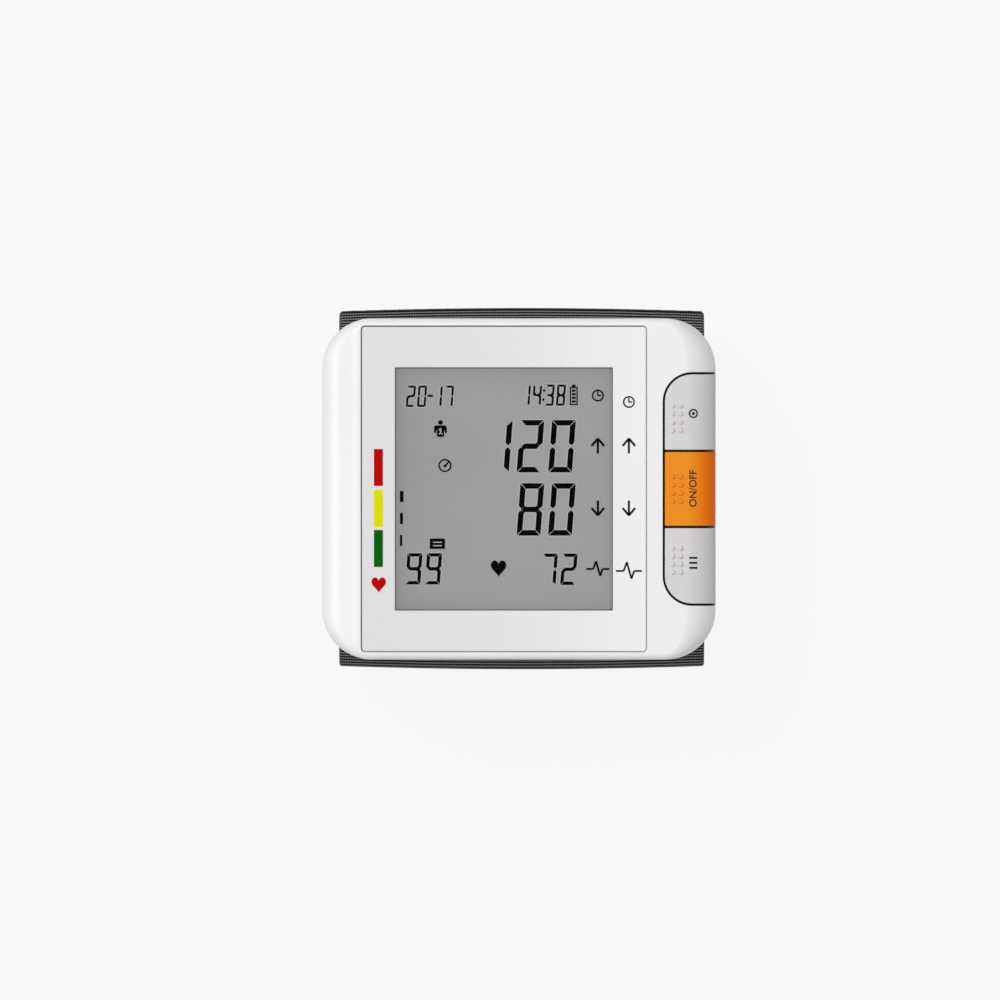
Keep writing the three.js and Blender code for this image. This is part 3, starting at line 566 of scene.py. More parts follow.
readings = [("17", 453.4, 385.5, 8.7, 21.4, 11.2, 2.2), ("20", 426.5, 385.5, 8.8, 21.4, 11.2, 2.2),
            ("38", 565.5, 384.5, 8.8, 21.2, 11.3, 2.2), ("14", 541.6, 384.5, 8.8, 21.2, 11.2, 2.2),
            ("120", 574.1, 420, 23.9, 52.4, 31.6, 5.5), ("80", 574, 483.2, 23.9, 52.4, 31.5, 5.5),
            ("99", 441.1, 553.2, 15.2, 31.3, 19.6, 3.4), ("72", 576.6, 553.6, 15.2, 31.4, 19.7, 3.4)]
date_dash = (427.8, 394.8, 433, 396.8)
time_dots = [(544.2, 390.5, 1.2), (543.4, 399.6, 1.2)]
battery_frame = [(570, 387, 571.2, 405), (576.6, 387, 577.8, 405), (571.2, 387, 576.6, 388.2),
                 (571.2, 403.8, 576.6, 405), (572.2, 384.6, 575.6, 387)]
battery_charge = [(571.9, 389.5 + 3.6 * n, 575.9, 391.7 + 3.6 * n, 0.9) for n in range(4)]
figure_head = (440.5, 422.4, 2.3)
figure_body = [(434.2, 425.4, 446.8, 430.4, 2.2), (434.2, 427.8, 436.2, 433, 0.8),
               (444.8, 427.8, 446.8, 433, 0.8), (437, 426, 444, 436.8, 0.6)]
figure_number = [(440, 428, 441.4, 434.4), (438.8, 433.4, 442.6, 434.4)]
figure_serif = (438.9, 430, 440.6, 428.5, 1.1)
gauge_ring = (445, 465.5, 6.6, 1.5)
gauge_needle = (445, 466.5, 448.6, 461.9, 1.5)
gauge_hub = (445, 466, 1.5)
store_box = (429.9, 538.6, 445, 548.9, 0.8)
store_lines = [(433, 541.8 + 3.4 * n, 442, 542.8 + 3.4 * n) for n in range(2)]
beat_heart = (498.7, 568.6, 15.4)
level_ticks = [(400, 491, 403.5, 502), (400, 513, 403, 524), (400, 535, 402.3, 546)]


def photo_x(pixel):
    return (pixel - photo_centre[0]) * PIXEL


def photo_y(pixel):
    return (photo_centre[1] - pixel) * PIXEL


def segment_bar(length, thickness, start, finish):
    """One lying segment centred on the origin: a hexagon with its long side up where an end is mitred."""
    bar = started(bpy.ops.mesh.primitive_circle_add, vertices=6, fill_type="NGON")
    half, reach = thickness / 2, length / 2
    slope, tip = mitre * thickness, point * thickness
    ends = {"mitred": [(reach, half), (reach - slope / 2, 0), (reach - slope, -half)],
            "pointed": [(reach - tip, half), (reach, 0), (reach - tip, -half)]}
    outline = ends[finish] + [(-x, y) for x, y in reversed(ends[start])]
    for vertex, (x, y) in zip(bar.data.vertices, outline):
        vertex.co = (x, y, 0)
    bpy.ops.object.mode_set(mode="EDIT")
    bpy.ops.mesh.select_all(action="SELECT")
    bpy.ops.mesh.extrude_region_move(TRANSFORM_OT_translate={"value": (0, 0, ink_thickness)})
    bpy.ops.mesh.select_all(action="SELECT")
    bpy.ops.mesh.normals_make_consistent(inside=False)
    bpy.ops.object.mode_set(mode="OBJECT")
    return bar


def copied(piece, matrix):
    twin = piece.copy()
    twin.data = piece.data.copy()
    twin.data.transform(matrix)
    bpy.context.scene.collection.objects.link(twin)
    return twin


def number_row(level, digits, right, top_edge, width, height, pitch, stroke, more=0.0):
    """A row of slanted digits, set from its right end. more thickens every stroke for the painted pale halo.
    """
    parting_gap = stroke * parting_share
    stroke_wide, upright_long = stroke + more, height / 2 - 2 * parting_gap + more
    lying = segment_bar(width - 2 * parting_gap + more, stroke_wide, "mitred", "mitred")
    mitred_first = segment_bar(upright_long, stroke_wide, "mitred", "pointed")
    mitred_last = segment_bar(upright_long, stroke_wide, "pointed", "mitred")
    middle_bar = segment_bar(width - stroke * 1.2 + more, stroke_wide, "pointed", "pointed")
    shear = Matrix.Identity(4)
    shear[0][1] = slant
    made = []
    across, half = width / 2 - stroke / 2, height / 2 - stroke / 2
    spots = {"a": (lying, 0, half, 0), "d": (lying, 0, -half, 180), "g": (middle_bar, 0, 0, 0),
             "b": (mitred_first, across, height / 4, -90), "c": (mitred_last, across, -height / 4, -90),
             "f": (mitred_last, -across, height / 4, 90), "e": (mitred_first, -across, -height / 4, 90)}
    for index, digit in enumerate(reversed(digits)):
        middle = Matrix.Translation((right - width / 2 - index * pitch, top_edge - height / 2, level))
        for segment in lit_segments[digit]:
            bar, x, y, degrees = spots[segment]
            turned = Matrix.Rotation(math.radians(degrees), 4, "Z")
            made.append(copied(bar, middle @ shear @ Matrix.Translation((x, y, 0)) @ turned))
    for bar in (lying, mitred_first, mitred_last, middle_bar):
        bpy.data.objects.remove(bar)
    return made


def ink_bar(level, x0, y0, x1, y1, corner=0.0):
    """A flat bar of ink between two points of the photograph."""
    low = (photo_x(x0), photo_y(y1), level)
    high = (photo_x(x1), photo_y(y0), level + ink_thickness)
    return rounded_block("ink", low, high, corner * PIXEL, 4)


def ink_stroke(level, x0, y0, x1, y1, width):
    """A straight stroke of ink of a given width, in pixels of the photograph."""
    start = Vector((photo_x(x0), photo_y(y0), level))
    finish = Vector((photo_x(x1), photo_y(y1), level))
    length, half = (finish - start).length, width * PIXEL / 2
    stroke = rounded_block("ink", (0, -half, 0), (length, half, ink_thickness))
    turn = Matrix.Rotation(math.atan2(finish.y - start.y, finish.x - start.x), 4, "Z")
    stroke.data.transform(Matrix.Translation(start) @ turn)
    return stroke


def ink_disc(level, x, y, radius, sides=28):
    spot = (photo_x(x), photo_y(y), level + ink_thickness / 2)
    return started(bpy.ops.mesh.primitive_cylinder_add, vertices=sides, radius=radius * PIXEL,
                   depth=ink_thickness, location=spot)


def ink_ring(level, x, y, radius, width):
    ring = ink_disc(level, x, y, radius)
    hole = ink_disc(level, x, y, radius - width)
    hole.data.transform(Matrix.Translation((0, 0, level)) @ Matrix.Diagonal((1, 1, 3, 1))
                        @ Matrix.Translation((0, 0, -level - ink_thickness / 3)))
    cut(ring, hole)
    return ring


def ink_heart(level, x, y, width):
    """A heart outline drawn by its formula on a filled circle."""
    heart = ink_disc(level, x, y, width / 2, 40)
    reach = width * PIXEL / 32
    centre_x, centre_y = photo_x(x), photo_y(y)
    for vertex in heart.data.vertices:
        t = math.atan2(vertex.co.x - centre_x, vertex.co.y - centre_y)
        vertex.co.x = centre_x + reach * 16 * math.sin(t) ** 3
        rise = 13 * math.cos(t) - 5 * math.cos(2 * t) - 2 * math.cos(3 * t) - math.cos(4 * t)
        vertex.co.y = centre_y + reach * 1.2 * (rise + 2)
    return heart


def ink_arrow(level, x, y, points):
    """An arrow that points up (-1) or down (1) the photograph: a stem and two slanting strokes."""
    tip, tail = y + points * arrow_size / 2, y - points * arrow_size / 2
    wing = arrow_size * 0.42
    starts = ((x, tail), (x - wing, y), (x + wing, y))
    return [ink_stroke(level, *start, x, tip, arrow_stroke) for start in starts]


def ink_clock(level, x, y):
    return [ink_ring(level, x, y, clock_radius, clock_ring),
            ink_stroke(level, x, y + 0.5, x, y - clock_radius * 0.7, clock_hand),
            ink_stroke(level, x - 0.5, y, x + clock_radius * 0.55, y, clock_hand)]


def ink_pulse(level, x, y, width):
    """A pulse line: flat, a sharp beat, flat again."""
    beat = [(x + across * width, y + rise * width) for across, rise in pulse_shape]
    return [ink_stroke(level, *start, *finish, pulse_stroke) for start, finish in zip(beat, beat[1:])]


def sign_column(level, x, clock_row, pulse_row, pulse_width):
    """The four signs beside the readings, from the clock down to the pulse line."""
    arrows = ink_arrow(level, x, arrow_up_row, -1) + ink_arrow(level, x, arrow_down_row, 1)
    return ink_clock(level, x, clock_row) + arrows + ink_pulse(level, x, pulse_row, pulse_width)


def joined(name, made):
    only(*made)
    bpy.ops.object.join()
    piece = bpy.context.object
    piece.name = name
    piece.data.name = name
    return piece


lit, pale = [], []
for digits, right, top_edge, *sizes in readings:
    placed = (digits, photo_x(right), photo_y(top_edge), *[size * PIXEL for size in sizes])
    lit += number_row(glass_level, *placed)
    pale += number_row(halo_level, *placed, more=halo_spread)
for bar in (date_dash, *battery_frame, *battery_charge, *figure_body, store_box, *level_ticks):
    lit.append(ink_bar(glass_level, *bar))
for disc in (*time_dots, figure_head, gauge_hub):
    lit.append(ink_disc(glass_level, *disc))
lit += [ink_ring(glass_level, *gauge_ring), ink_stroke(glass_level, *gauge_needle)]
lit.append(ink_heart(glass_level, *beat_heart))
lit += sign_column(glass_level, 598, 395.5, 569, 23)
pale += [ink_bar(figure_level, *bar) for bar in (*figure_number, *store_lines)]
pale.append(ink_stroke(figure_level, *figure_serif))
lit_marks = joined("lcd_readings", lit)
pale_marks = joined("lcd_pale_edges", pale)
crystal_black = moulded_plastic("crystal_black", (0.0004, 0.0004, 0.0005), 0.6, grain=0.02, gloss_level=0.01)
# The pale grey paints the pale lines inside the symbols and a painted highlight halo round every black mark.
crystal_pale_and_painted_halo = moulded_plastic("crystal_pale_and_painted_halo", (0.56, 0.56, 0.565), 0.6, grain=0.02, gloss_level=0.03)
dress(lit_marks, crystal_black, "main_unit", "lcd_grey")
dress(pale_marks, crystal_pale_and_painted_halo, "main_unit", "lcd_grey")

# Prints on the panel: a scale of three colour blocks with a red heart under it at the left of the window, and
# small dark symbols at the right beside the readings they belong to.
print_level = panel_high.z - 0.01 * MM
scale_left, scale_right = 374, 383
scale_colours = [("scale_red", (0.51, 0.001, 0.001), 449, 486),
                 ("scale_yellow", (0.77, 0.73, 0.002), 490, 527),
                 ("scale_green", (0.002, 0.115, 0.004), 530, 567)]
for name, colour, top_row, low_row in scale_colours:
    block = ink_bar(print_level, scale_left, top_row, scale_right, low_row, 0.6)
    block.name = name + "_block"
    block_ink = moulded_plastic(name, colour, 0.6, grain=0.03, gloss_level=0.03)
    dress(block, block_ink, "main_unit", "panel_plastic")
red_heart = ink_heart(print_level, 378.8, 585, 14.5)
red_heart.name = "scale_heart"
dress(red_heart, bpy.data.materials["scale_red"], "main_unit", "panel_plastic")
panel_signs = joined("panel_signs", sign_column(print_level, 629, 402, 571, 26))
print_dark = moulded_plastic("print_dark", (0.012, 0.012, 0.013), 0.6, grain=0.03, gloss_level=0.03)
dress(panel_signs, print_dark, "main_unit", "panel_plastic")

# Button row: three hollow caps that carry the case's rounded right end over their outer side, grey at both
# ends and orange in the middle, with raised dots to feel for and a mark on each.
grey_tone = (0.7, 0.68, 0.705)
orange_tone = (0.87, 0.27, 0.012)
button_grey = moulded_plastic("button_grey", grey_tone, 0.46, gloss_level=0.08)
button_orange = moulded_plastic("button_orange", orange_tone, 0.46, gloss_level=0.05)
# Painted shade: the orange is painted redder towards the cap's rounded right end, the hue of its shaded side.
painted_shade_ramp(button_orange, photo_x(692), photo_x(713), (0.89, 0.285, 0.016), (0.97, 0.175, 0.003))
dot_grey = moulded_plastic("dot_grey", grey_tone, 0.3, grain=0.02)
dot_orange = moulded_plastic("dot_orange", orange_tone, 0.26, grain=0.02)
dot_radius = 2.4 * PIXEL
dot_height = 0.52 * MM
dot_columns = (673, 681)
mark_column = 693.5
set_mark_row = 413.5
power_mark_row = 488.5
mark_lift = 0.02 * MM
letter_size = 1.95 * MM
letter_weight = 0.02 * MM
cap_wall = 1.5 * MM
cap_edge = 0.22 * MM
cap_corner = row_corner - button_gap
room_corner = 0.8 * MM
plunger_play = 0.25 * MM


def lid_height(x):
    """Height of the case's outside over the rounded right end."""
    along = max(x - (case_half_width - right_rounding), 0)
    return case_top - right_rounding + math.sqrt(max(right_rounding ** 2 - along ** 2, 0))


def feel_dots(name, rows):
    dots = []
    for column in dot_columns:
        for row in rows:
            bpy.ops.object.select_all(action="DESELECT")
            spot = (photo_x(column), photo_y(row), case_top)
            bpy.ops.mesh.primitive_uv_sphere_add(segments=20, ring_count=12, radius=dot_radius, location=spot)
            bpy.context.object.scale.z = dot_height / dot_radius
            bpy.ops.object.transform_apply(location=True, rotation=True, scale=True)
            bpy.ops.object.shade_smooth()
            dots.append(bpy.context.object)
    return joined(name, dots)


def laid_on_cap(mark):
    """Drapes a flat mark over the cap's rounded outside."""
    only(mark)
    bpy.ops.object.mode_set(mode="EDIT")
    bpy.ops.mesh.select_all(action="SELECT")
    bpy.ops.mesh.quads_convert_to_tris()
    bpy.ops.mesh.subdivide(number_cuts=3)
    bpy.ops.object.mode_set(mode="OBJECT")
    for vertex in mark.data.vertices:
        over = vertex.co.z - print_level
        vertex.co.z = lid_height(vertex.co.x) + mark_lift + over
    return mark


power_letters = bpy.data.curves.new("power_words", "FONT")
power_letters.body = "ON/OFF"
power_letters.size = letter_size
power_letters.offset = letter_weight
power_letters.align_x = "CENTER"
power_letters.align_y = "CENTER"
power_words = bpy.data.objects.new("power_words", power_letters)
bpy.context.scene.collection.objects.link(power_words)
only(power_words)
bpy.ops.object.convert(target="MESH")
power_words = bpy.context.object
words_place = Matrix.Translation((photo_x(mark_column), photo_y(power_mark_row), print_level))
power_words.data.transform(words_place @ Matrix.Rotation(math.pi / 2, 4, "Z"))
set_ring = ink_ring(print_level, mark_column, set_mark_row, 4.6, 1.4)
set_mark = joined("set_mark", [set_ring, ink_disc(print_level, mark_column, set_mark_row, 1.5)])
memory_bars = [ink_bar(print_level, 689.5, 557 + 5 * n, 697.5, 558.8 + 5 * n) for n in range(3)]
memory_mark = joined("memory_mark", memory_bars)
row_caps = [("set", set_mark, (406, 414, 422.5, 430.5), 0, cap_corner, button_grey, dot_grey, "grey_plastic"),
            ("power", power_words, (477, 485, 493.5, 501.5), 0, 0, button_orange, dot_orange,
             "orange_plastic"),
            ("memory", memory_mark, (548.5, 556.5, 564.5, 572.5), cap_corner, 0, button_grey, dot_grey,
             "grey_plastic")]
for key, mark, dot_rows, low_corner, high_corner, cap_paint, dot_paint, cap_slot in row_caps:
    low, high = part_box(f"{key}_button")
    cap = case_block(f"{key}_cap", 0, low.z, case_top)
    cap_outline = row_block("cap_outline", low.x, low.y, high.y, low_corner, high_corner, low.z - past)
    cut(cap, cap_outline, "INTERSECT")
    room_low = (low.x + cap_wall, low.y + cap_wall, low.z - past)
    room_high = (high.x - cap_wall, high.y - cap_wall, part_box(f"{key}_switch_plunger")[1].z + plunger_play)
    cut(cap, rounded_block("cap_room", room_low, room_high, room_corner, 4))
    soften(cap, cap_edge, 3)
    dress(cap, cap_paint, f"{key}_key", cap_slot, f"{key}_button")
    dress(feel_dots(f"{key}_feel_dots", dot_rows), dot_paint, f"{key}_key", cap_slot)
    dress(laid_on_cap(mark), print_dark, f"{key}_key", cap_slot)

# Gap lips: a thin near-black rubber frame round the button row, with two fins across it between the caps. It
# stands on the tub's rim and stops a little below the caps' faces. It hides the board below the gaps, and its
# black is painted shade, so that the gaps stay dark out to the case's rounded end.
lip_half = 0.1 * MM
lip_sink = 0.3 * MM
gap_half = button_gap / 2
lip_corner = row_corner - gap_half
lip_bottom = tub_high.z + 0.02 * MM
gap_shade_rubber = moulded_plastic("gap_shade_rubber", (0.006, 0.006, 0.0065), 0.7, grain=0.1, gloss_level=0.05)


def lip_block(name, less, bottom):
    """The row's outline, drawn in from the middle of the gap round it."""
    margin = gap_half - less
    return row_block(name, row_left - margin, row_low_y - margin, row_high_y + margin,
                     lip_corner - less, lip_corner - less, bottom)


lip_frame = lip_block("lip_frame", -lip_half, lip_bottom)
cut(lip_frame, lip_block("lip_room", lip_half, lip_bottom - past))
lips = [lip_frame]
for row_edge in (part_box("power_button")[1].y + gap_half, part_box("power_button")[0].y - gap_half):
    fin_low = (row_left - gap_half, row_edge - lip_half, lip_bottom)
    fin_high = (case_half_width + past, row_edge + lip_half, case_top + past)
    lips.append(rounded_block("lip_fin", fin_low, fin_high))
for lip in lips:
    cut(lip, case_block("lip_outside", lip_sink, lip_bottom, case_top - lip_sink), "INTERSECT")
dress(joined("row_gap_shade_lips", lips), gap_shade_rubber, "main_unit", "silicone")

# Cuff cover: the outer cloth of the wrist cuff, a dark ribbed weave whose ribs run along the wrist. It is cut
# as one long strip, wraps the wrist under the case and up its far side, and bulges a little between its
# edges.
sleeve_low, sleeve_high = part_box("cuff_cover")
strap_low, strap_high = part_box("strap_band")
strap_radius = 25 * MM
near_centre = (strap_high.y - strap_radius, strap_low.z + strap_radius)
far_centre = (sleeve_low.y + cuff_corner, sleeve_low.z + cuff_corner)
top_far_centre = (sleeve_low.y + cuff_corner, sleeve_high.z - cuff_corner)
shoulder_centre = (sleeve_high.y - cuff_corner, sleeve_high.z - cuff_corner)
sleeve_route = [("arc", near_centre, cuff_corner, -45, -90),
                ("line", (near_centre[0], sleeve_low.z), (far_centre[0], sleeve_low.z)),
                ("arc", far_centre, cuff_corner, -90, -180),
                ("line", (sleeve_low.y, far_centre[1]), (sleeve_low.y, top_far_centre[1])),
                ("arc", top_far_centre, cuff_corner, -180, -270),
                ("line", (top_far_centre[0], sleeve_high.z), (shoulder_centre[0], sleeve_high.z)),
                ("arc", shoulder_centre, cuff_corner, 90, 0)]
sleeve_middle = (sleeve_low.x + sleeve_high.x) / 2
sleeve_half_width = (sleeve_high.x - sleeve_low.x) / 2
bulge = 0.62 * MM
proud = 0.25 * MM
cloth_step = 1.6 * MM
cloth_edge = 0.45 * MM
cloth_smooth = math.radians(50)
cover_thickness = 1.0 * MM
layer_start = 0.9 * MM
rib_pitch = 1.0 * MM
yarn_pitch = 0.5 * MM
seen_pitch = 0.508 * MM
widest_stretch = 2.4
widest_rise = seen_pitch / rib_pitch * cuff_corner / widest_stretch
relaxed_in = 10 * MM
weave_step = 0.4 * MM
wave_per_pitch = 0.31416


def stretch_length(stretch):
    if stretch[0] == "arc":
        return stretch[2] * math.radians(abs(stretch[4] - stretch[3]))
    return (Vector(stretch[2]) - Vector(stretch[1])).length


def route_length(route):
    return sum(stretch_length(stretch) for stretch in route)


def route_point(route, along):
    """The point of a route at a length from its start, as y and z, with the direction into the wrist."""
    for number, stretch in enumerate(route):
        length = stretch_length(stretch)
        if along <= length or number == len(route) - 1:
            part = along / length
            break
        along -= length
    if stretch[0] == "arc":
        angle = math.radians(stretch[3] + (stretch[4] - stretch[3]) * part)
        outward = Vector((math.cos(angle), math.sin(angle)))
        return Vector(stretch[1]) + outward * stretch[2], -outward
    start, finish = Vector(stretch[1]), Vector(stretch[2])
    heading = (finish - start).normalized()
    return start + (finish - start) * part, Vector((heading.y, -heading.x))


def cloth_place(route, along, x, depth):
    """A point of the cloth, which bulges between its edges and stands a little proud on the upright sides."""
    spot, inward = route_point(route, along)
    sunk = depth + bulge * (x / sleeve_half_width) ** 2 - proud * inward.x ** 2
    return Vector((sleeve_middle + x, spot.x + inward.x * sunk, spot.y + inward.y * sunk))


def cloth_loop(half_width, top, bottom, round_edge, flat_count=22):
    """The outline of a flat cloth across the cuff, as x and depth, with rounded edges."""
    loop = []
    round_edge = min(round_edge, (bottom - top) / 2)
    middle = (top + bottom) / 2
    reach = (bottom - top) / 2 - round_edge
    edge = half_width - round_edge
    for side, start in ((1, -90), (-1, 90)):
        for step in range(7):
            angle = math.radians(start + step * 30)
            up = math.sin(angle)
            flat = reach if up > 0.01 else -reach if up < -0.01 else 0
            loop.append((side * edge + round_edge * math.cos(angle), middle + up * round_edge + flat))
        for step in range(1, flat_count):
            x = side * (edge - 2 * edge * step / flat_count)
            loop.append((x, bottom if side > 0 else top))
    return loop


def wrapped(name, route, outline, first=0.0, last=None, extra=(), weave=None):
    """Wraps a cloth along a route. outline gives its loop at a length, weave its own length there."""
    last = route_length(route) if last is None else last
    count = max(int((last - first) / cloth_step), 8)
    stops = {first + (last - first) * i / count for i in range(count + 1)} | set(extra)
    stops = sorted(stop for stop in stops if first <= stop <= last)
    verts, marks = [], []
    for stop in stops:
        loop = outline(stop)
        woven = weave(stop) if weave else stop
        for x, depth in loop:
            verts.append(cloth_place(route, stop, x, depth))
            marks.append((x, woven))
    size = len(loop)
    faces = [tuple(range(size))]
    for row in range(len(stops) - 1):
        for i in range(size):
            a, b = row * size + i, row * size + (i + 1) % size
            faces.append((a, a + size, b + size, b))
    faces.append(tuple(range(len(verts) - 1, len(verts) - size - 1, -1)))
    cloth = meshed(name, verts, faces)
    layer = cloth.data.uv_layers.new(name="cloth")
    for face in cloth.data.polygons:
        for corner in face.loop_indices:
            layer.data[corner].uv = marks[cloth.data.loops[corner].vertex_index]
    only(cloth)
    bpy.ops.object.mode_set(mode="EDIT")
    bpy.ops.mesh.select_all(action="SELECT")
    bpy.ops.mesh.normals_make_consistent(inside=False)
    bpy.ops.object.mode_set(mode="OBJECT")
    bpy.ops.object.shade_smooth_by_angle(angle=cloth_smooth)
    return cloth


def weave_bands(tree, cloth, direction, pitch, sockets):
    """Raised bands at a pitch, along or across the cloth."""
    scale = wave_per_pitch / pitch
    bands = new_node(tree, "TexWave", {"Vector": cloth, "Scale": scale, "Detail": 1, **sockets})
    bands.bands_direction = direction
    return bands.outputs["Fac"]


def woven_cloth(name, dark, light, rib, yarn, depth, sheen):
    """Ribbed weave on the cloth's own UV: raised ribs across the strip, broken up by the yarns along it."""
    material, tree, shader = fresh_material(name)
    own_map = tree.nodes.new("ShaderNodeUVMap")
    own_map.uv_map = "cloth"
    cloth = own_map.outputs["UV"]
    ribs = weave_bands(tree, cloth, "Y", rib, {"Distortion": 0.6, "Detail Scale": 0.4})
    yarns = weave_bands(tree, cloth, "X", yarn, {"Distortion": 1.2})
    fuzz = clouds(tree, cloth, 900, 3)
    lift = reckoned(tree, "MULTIPLY_ADD", yarns, 0.3, 0.7)
    crest = reckoned(tree, "MULTIPLY", ribs, lift)
    rough_crest = reckoned(tree, "MULTIPLY_ADD", fuzz, 0.25, crest)
    fill_sockets(tree, shader, {"Sheen Weight": sheen, "Sheen Roughness": 0.5, "Specular IOR Level": 0.03,
                                "Base Color": tones(tree, rough_crest, dark, light, 0.45, 0.98),
                                "Roughness": spread(tree, fuzz, 0.72, 0.92),
                                "Normal": relief(tree, rough_crest, 0.7, depth)})
    return material


def cover_outline(along):
    return cloth_loop(sleeve_half_width, 0, cover_thickness, cloth_edge)


def rib_stretch(height):
    """How many times wider the ribs lie where the cloth is drawn over the cuff's upper corners."""
    rise = height - shoulder_centre[1]
    if rise > widest_rise:
        return seen_pitch / rib_pitch * cuff_corner / rise
    return 1 + (widest_stretch - 1) * max(1 - (widest_rise - rise) / relaxed_in, 0)


def cover_weave(along):
    """The cloth's own length at a length of the route, counted in steps along it."""
    count = max(int(along / weave_step), 1)
    step = along / count
    heights = [route_point(sleeve_route, (number + 0.5) * step)[0].y for number in range(count)]
    return sum(step / rib_stretch(height) for height in heights)


ribbed_cloth = woven_cloth("ribbed_cloth", (0.002, 0.002, 0.0023), (0.31, 0.31, 0.315), rib_pitch, yarn_pitch,
                           0.15 * MM, 0.0)
sleeve_length = route_length(sleeve_route)
layer_end = sleeve_length - layer_start
cover = wrapped("cuff_cover_cloth", sleeve_route, cover_outline, layer_start, layer_end, weave=cover_weave)
dress(cover, ribbed_cloth, "main_unit", "ribbed_fabric", "cuff_cover")

# Air bladder: two sheets of flexible film, welded round the edge and slightly filled. It lies between the
# cuff's stiffener and the soft lining.
film_grey = moulded_plastic("film_grey", (0.21, 0.246, 0.29), 0.3, grain=0.03, mottle=0.05)
bladder_half_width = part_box("air_bladder")[1].x - sleeve_middle
bladder_top, bladder_bottom = 2.62 * MM, 3.78 * MM
bladder_first, bladder_last = 1 * MM, sleeve_length - cuff_corner * math.radians(30)
bladder_weld = 4 * MM
least_swell = 0.04


def eased(along, first, last, reach):
    """1 along a cloth, closing to nearly 0 in a quarter round at both of its ends."""
    near = min(along - first, last - along, reach) / reach
    return max(math.sqrt(max(1 - (1 - near) ** 2, 0)), least_swell)


def end_stops(first, last, reach):
    shares = (0.03, 0.1, 0.2, 0.35, 0.55, 0.8, 1.0)
    return [first + reach * s for s in shares] + [last - reach * s for s in shares]


def bladder_outline(along):
    swell = eased(along, bladder_first, bladder_last, bladder_weld)
    middle = (bladder_top + bladder_bottom) / 2
    half = (bladder_bottom - bladder_top) / 2 * swell
    loop = cloth_loop(bladder_half_width, middle - half, middle + half, half)
    return [(x, (depth - middle) * eased(x, -bladder_half_width, bladder_half_width, bladder_weld) + middle)
            for x, depth in loop]


bladder = wrapped("air_bladder_film", sleeve_route, bladder_outline, bladder_first, bladder_last,
                  end_stops(bladder_first, bladder_last, bladder_weld))
dress(bladder, film_grey, "main_unit", "bladder_film", "air_bladder")

# Cuff lining: the soft brushed knit that lies against the wrist, with shallow wrinkles where the cuff turns
# its corners.
knit_pitch = 0.9 * MM
soft_knit = woven_cloth("soft_knit", (0.02, 0.02, 0.022), (0.065, 0.065, 0.07), knit_pitch, knit_pitch,
                        0.12 * MM, 0.4)
lining_top, lining_bottom = 4.1 * MM, 5.1 * MM
lining_half_width = sleeve_half_width - 0.5 * MM
wrinkle = 0.3 * MM
wrinkle_pitch = 8 * MM
wrinkle_fade = 6 * MM
long_wander, short_wander = 13 * MM, 5 * MM


def lining_outline(along):
    middle = (lining_top + lining_bottom) / 2
    loop = []
    for x, depth in cloth_loop(lining_half_width, lining_top, lining_bottom, cloth_edge):
        wander = 1.1 * math.sin(x / long_wander) + 0.5 * math.sin(x / short_wander + 1)
        dip = 0.5 + 0.5 * math.sin(2 * math.pi * along / wrinkle_pitch + wander)
        fade = min((lining_half_width - abs(x)) / wrinkle_fade, 1)
        loop.append((x, depth - wrinkle * dip * max(fade, 0) * (depth > middle)))
    return loop


lining = wrapped("cuff_lining_cloth", sleeve_route, lining_outline, layer_start, layer_end)
dress(lining, soft_knit, "main_unit", "soft_fabric", "cuff_liner")

# Edge binding: a folded tape sewn under the cover's edge and round the lining's, along both long edges and
# across both ends of the cuff, where it closes the layers.
tape_weave = woven_cloth("tape_weave", (0.006, 0.006, 0.0065), (0.06, 0.06, 0.063), 0.6 * MM, 0.35 * MM,
                         0.04 * MM, 0.05)
tape_reach = 2.6 * MM
tape_proud = 0.12 * MM
tape_thickness = 0.32 * MM
tape_corner = 1.5 * MM
tape_outside = sleeve_half_width - 0.12 * MM
tape_top = cover_thickness - 0.15 * MM
tape_bottom = lining_bottom + tape_proud
end_reach = 1.8 * MM
end_round = 0.8 * MM
end_edge = 1.2 * MM


def tape_outline(side):
    """A thin C from under the cover, out to the edge and round on to the lining."""
    outer, inner = [], []
    for start_depth, start in ((tape_top + tape_corner, -90), (tape_bottom - tape_corner, 0)):
        for step in range(6):
            angle = math.radians(start + step * 18)
            for loop, less in ((outer, 0), (inner, tape_thickness)):
                loop.append((tape_outside - tape_corner + (tape_corner - less) * math.cos(angle),
                             start_depth + (tape_corner - less) * math.sin(angle)))
    back = tape_outside - tape_reach
    outer = [(back, tape_top)] + outer + [(back, tape_bottom)]
    inner = [(back, tape_top + tape_thickness)] + inner + [(back, tape_bottom - tape_thickness)]
    return [(side * x, depth) for x, depth in outer + inner[::-1]]


def end_outline(first, last, along):
    """The binding across an end of the cuff, which closes in a round at its outer edge."""
    closing = eased(along, first - end_reach * (first > 0), last + end_reach * (first == 0), end_round)
    middle, half = lining_bottom / 2, (lining_bottom / 2 - end_round) + end_round * closing
    return cloth_loop(sleeve_half_width, middle - half, middle + half + tape_proud, end_edge)


for side, node in ((-1, "edge_tape_left"), (1, "edge_tape_right")):
    tape = wrapped(f"{node}_binding", sleeve_route, lambda along, side=side: tape_outline(side),
                   layer_start, layer_end)
    dress(tape, tape_weave, "main_unit", "soft_fabric", node)
for name, first, last in (("free", 0.0, end_reach), ("shoulder", sleeve_length - end_reach, sleeve_length)):
    closing_tape = wrapped(f"cuff_{name}_end_binding", sleeve_route,
                           lambda along, first=first, last=last: end_outline(first, last, along), first, last,
                           end_stops(first, last, end_round))
    dress(closing_tape, tape_weave, "main_unit", "soft_fabric")

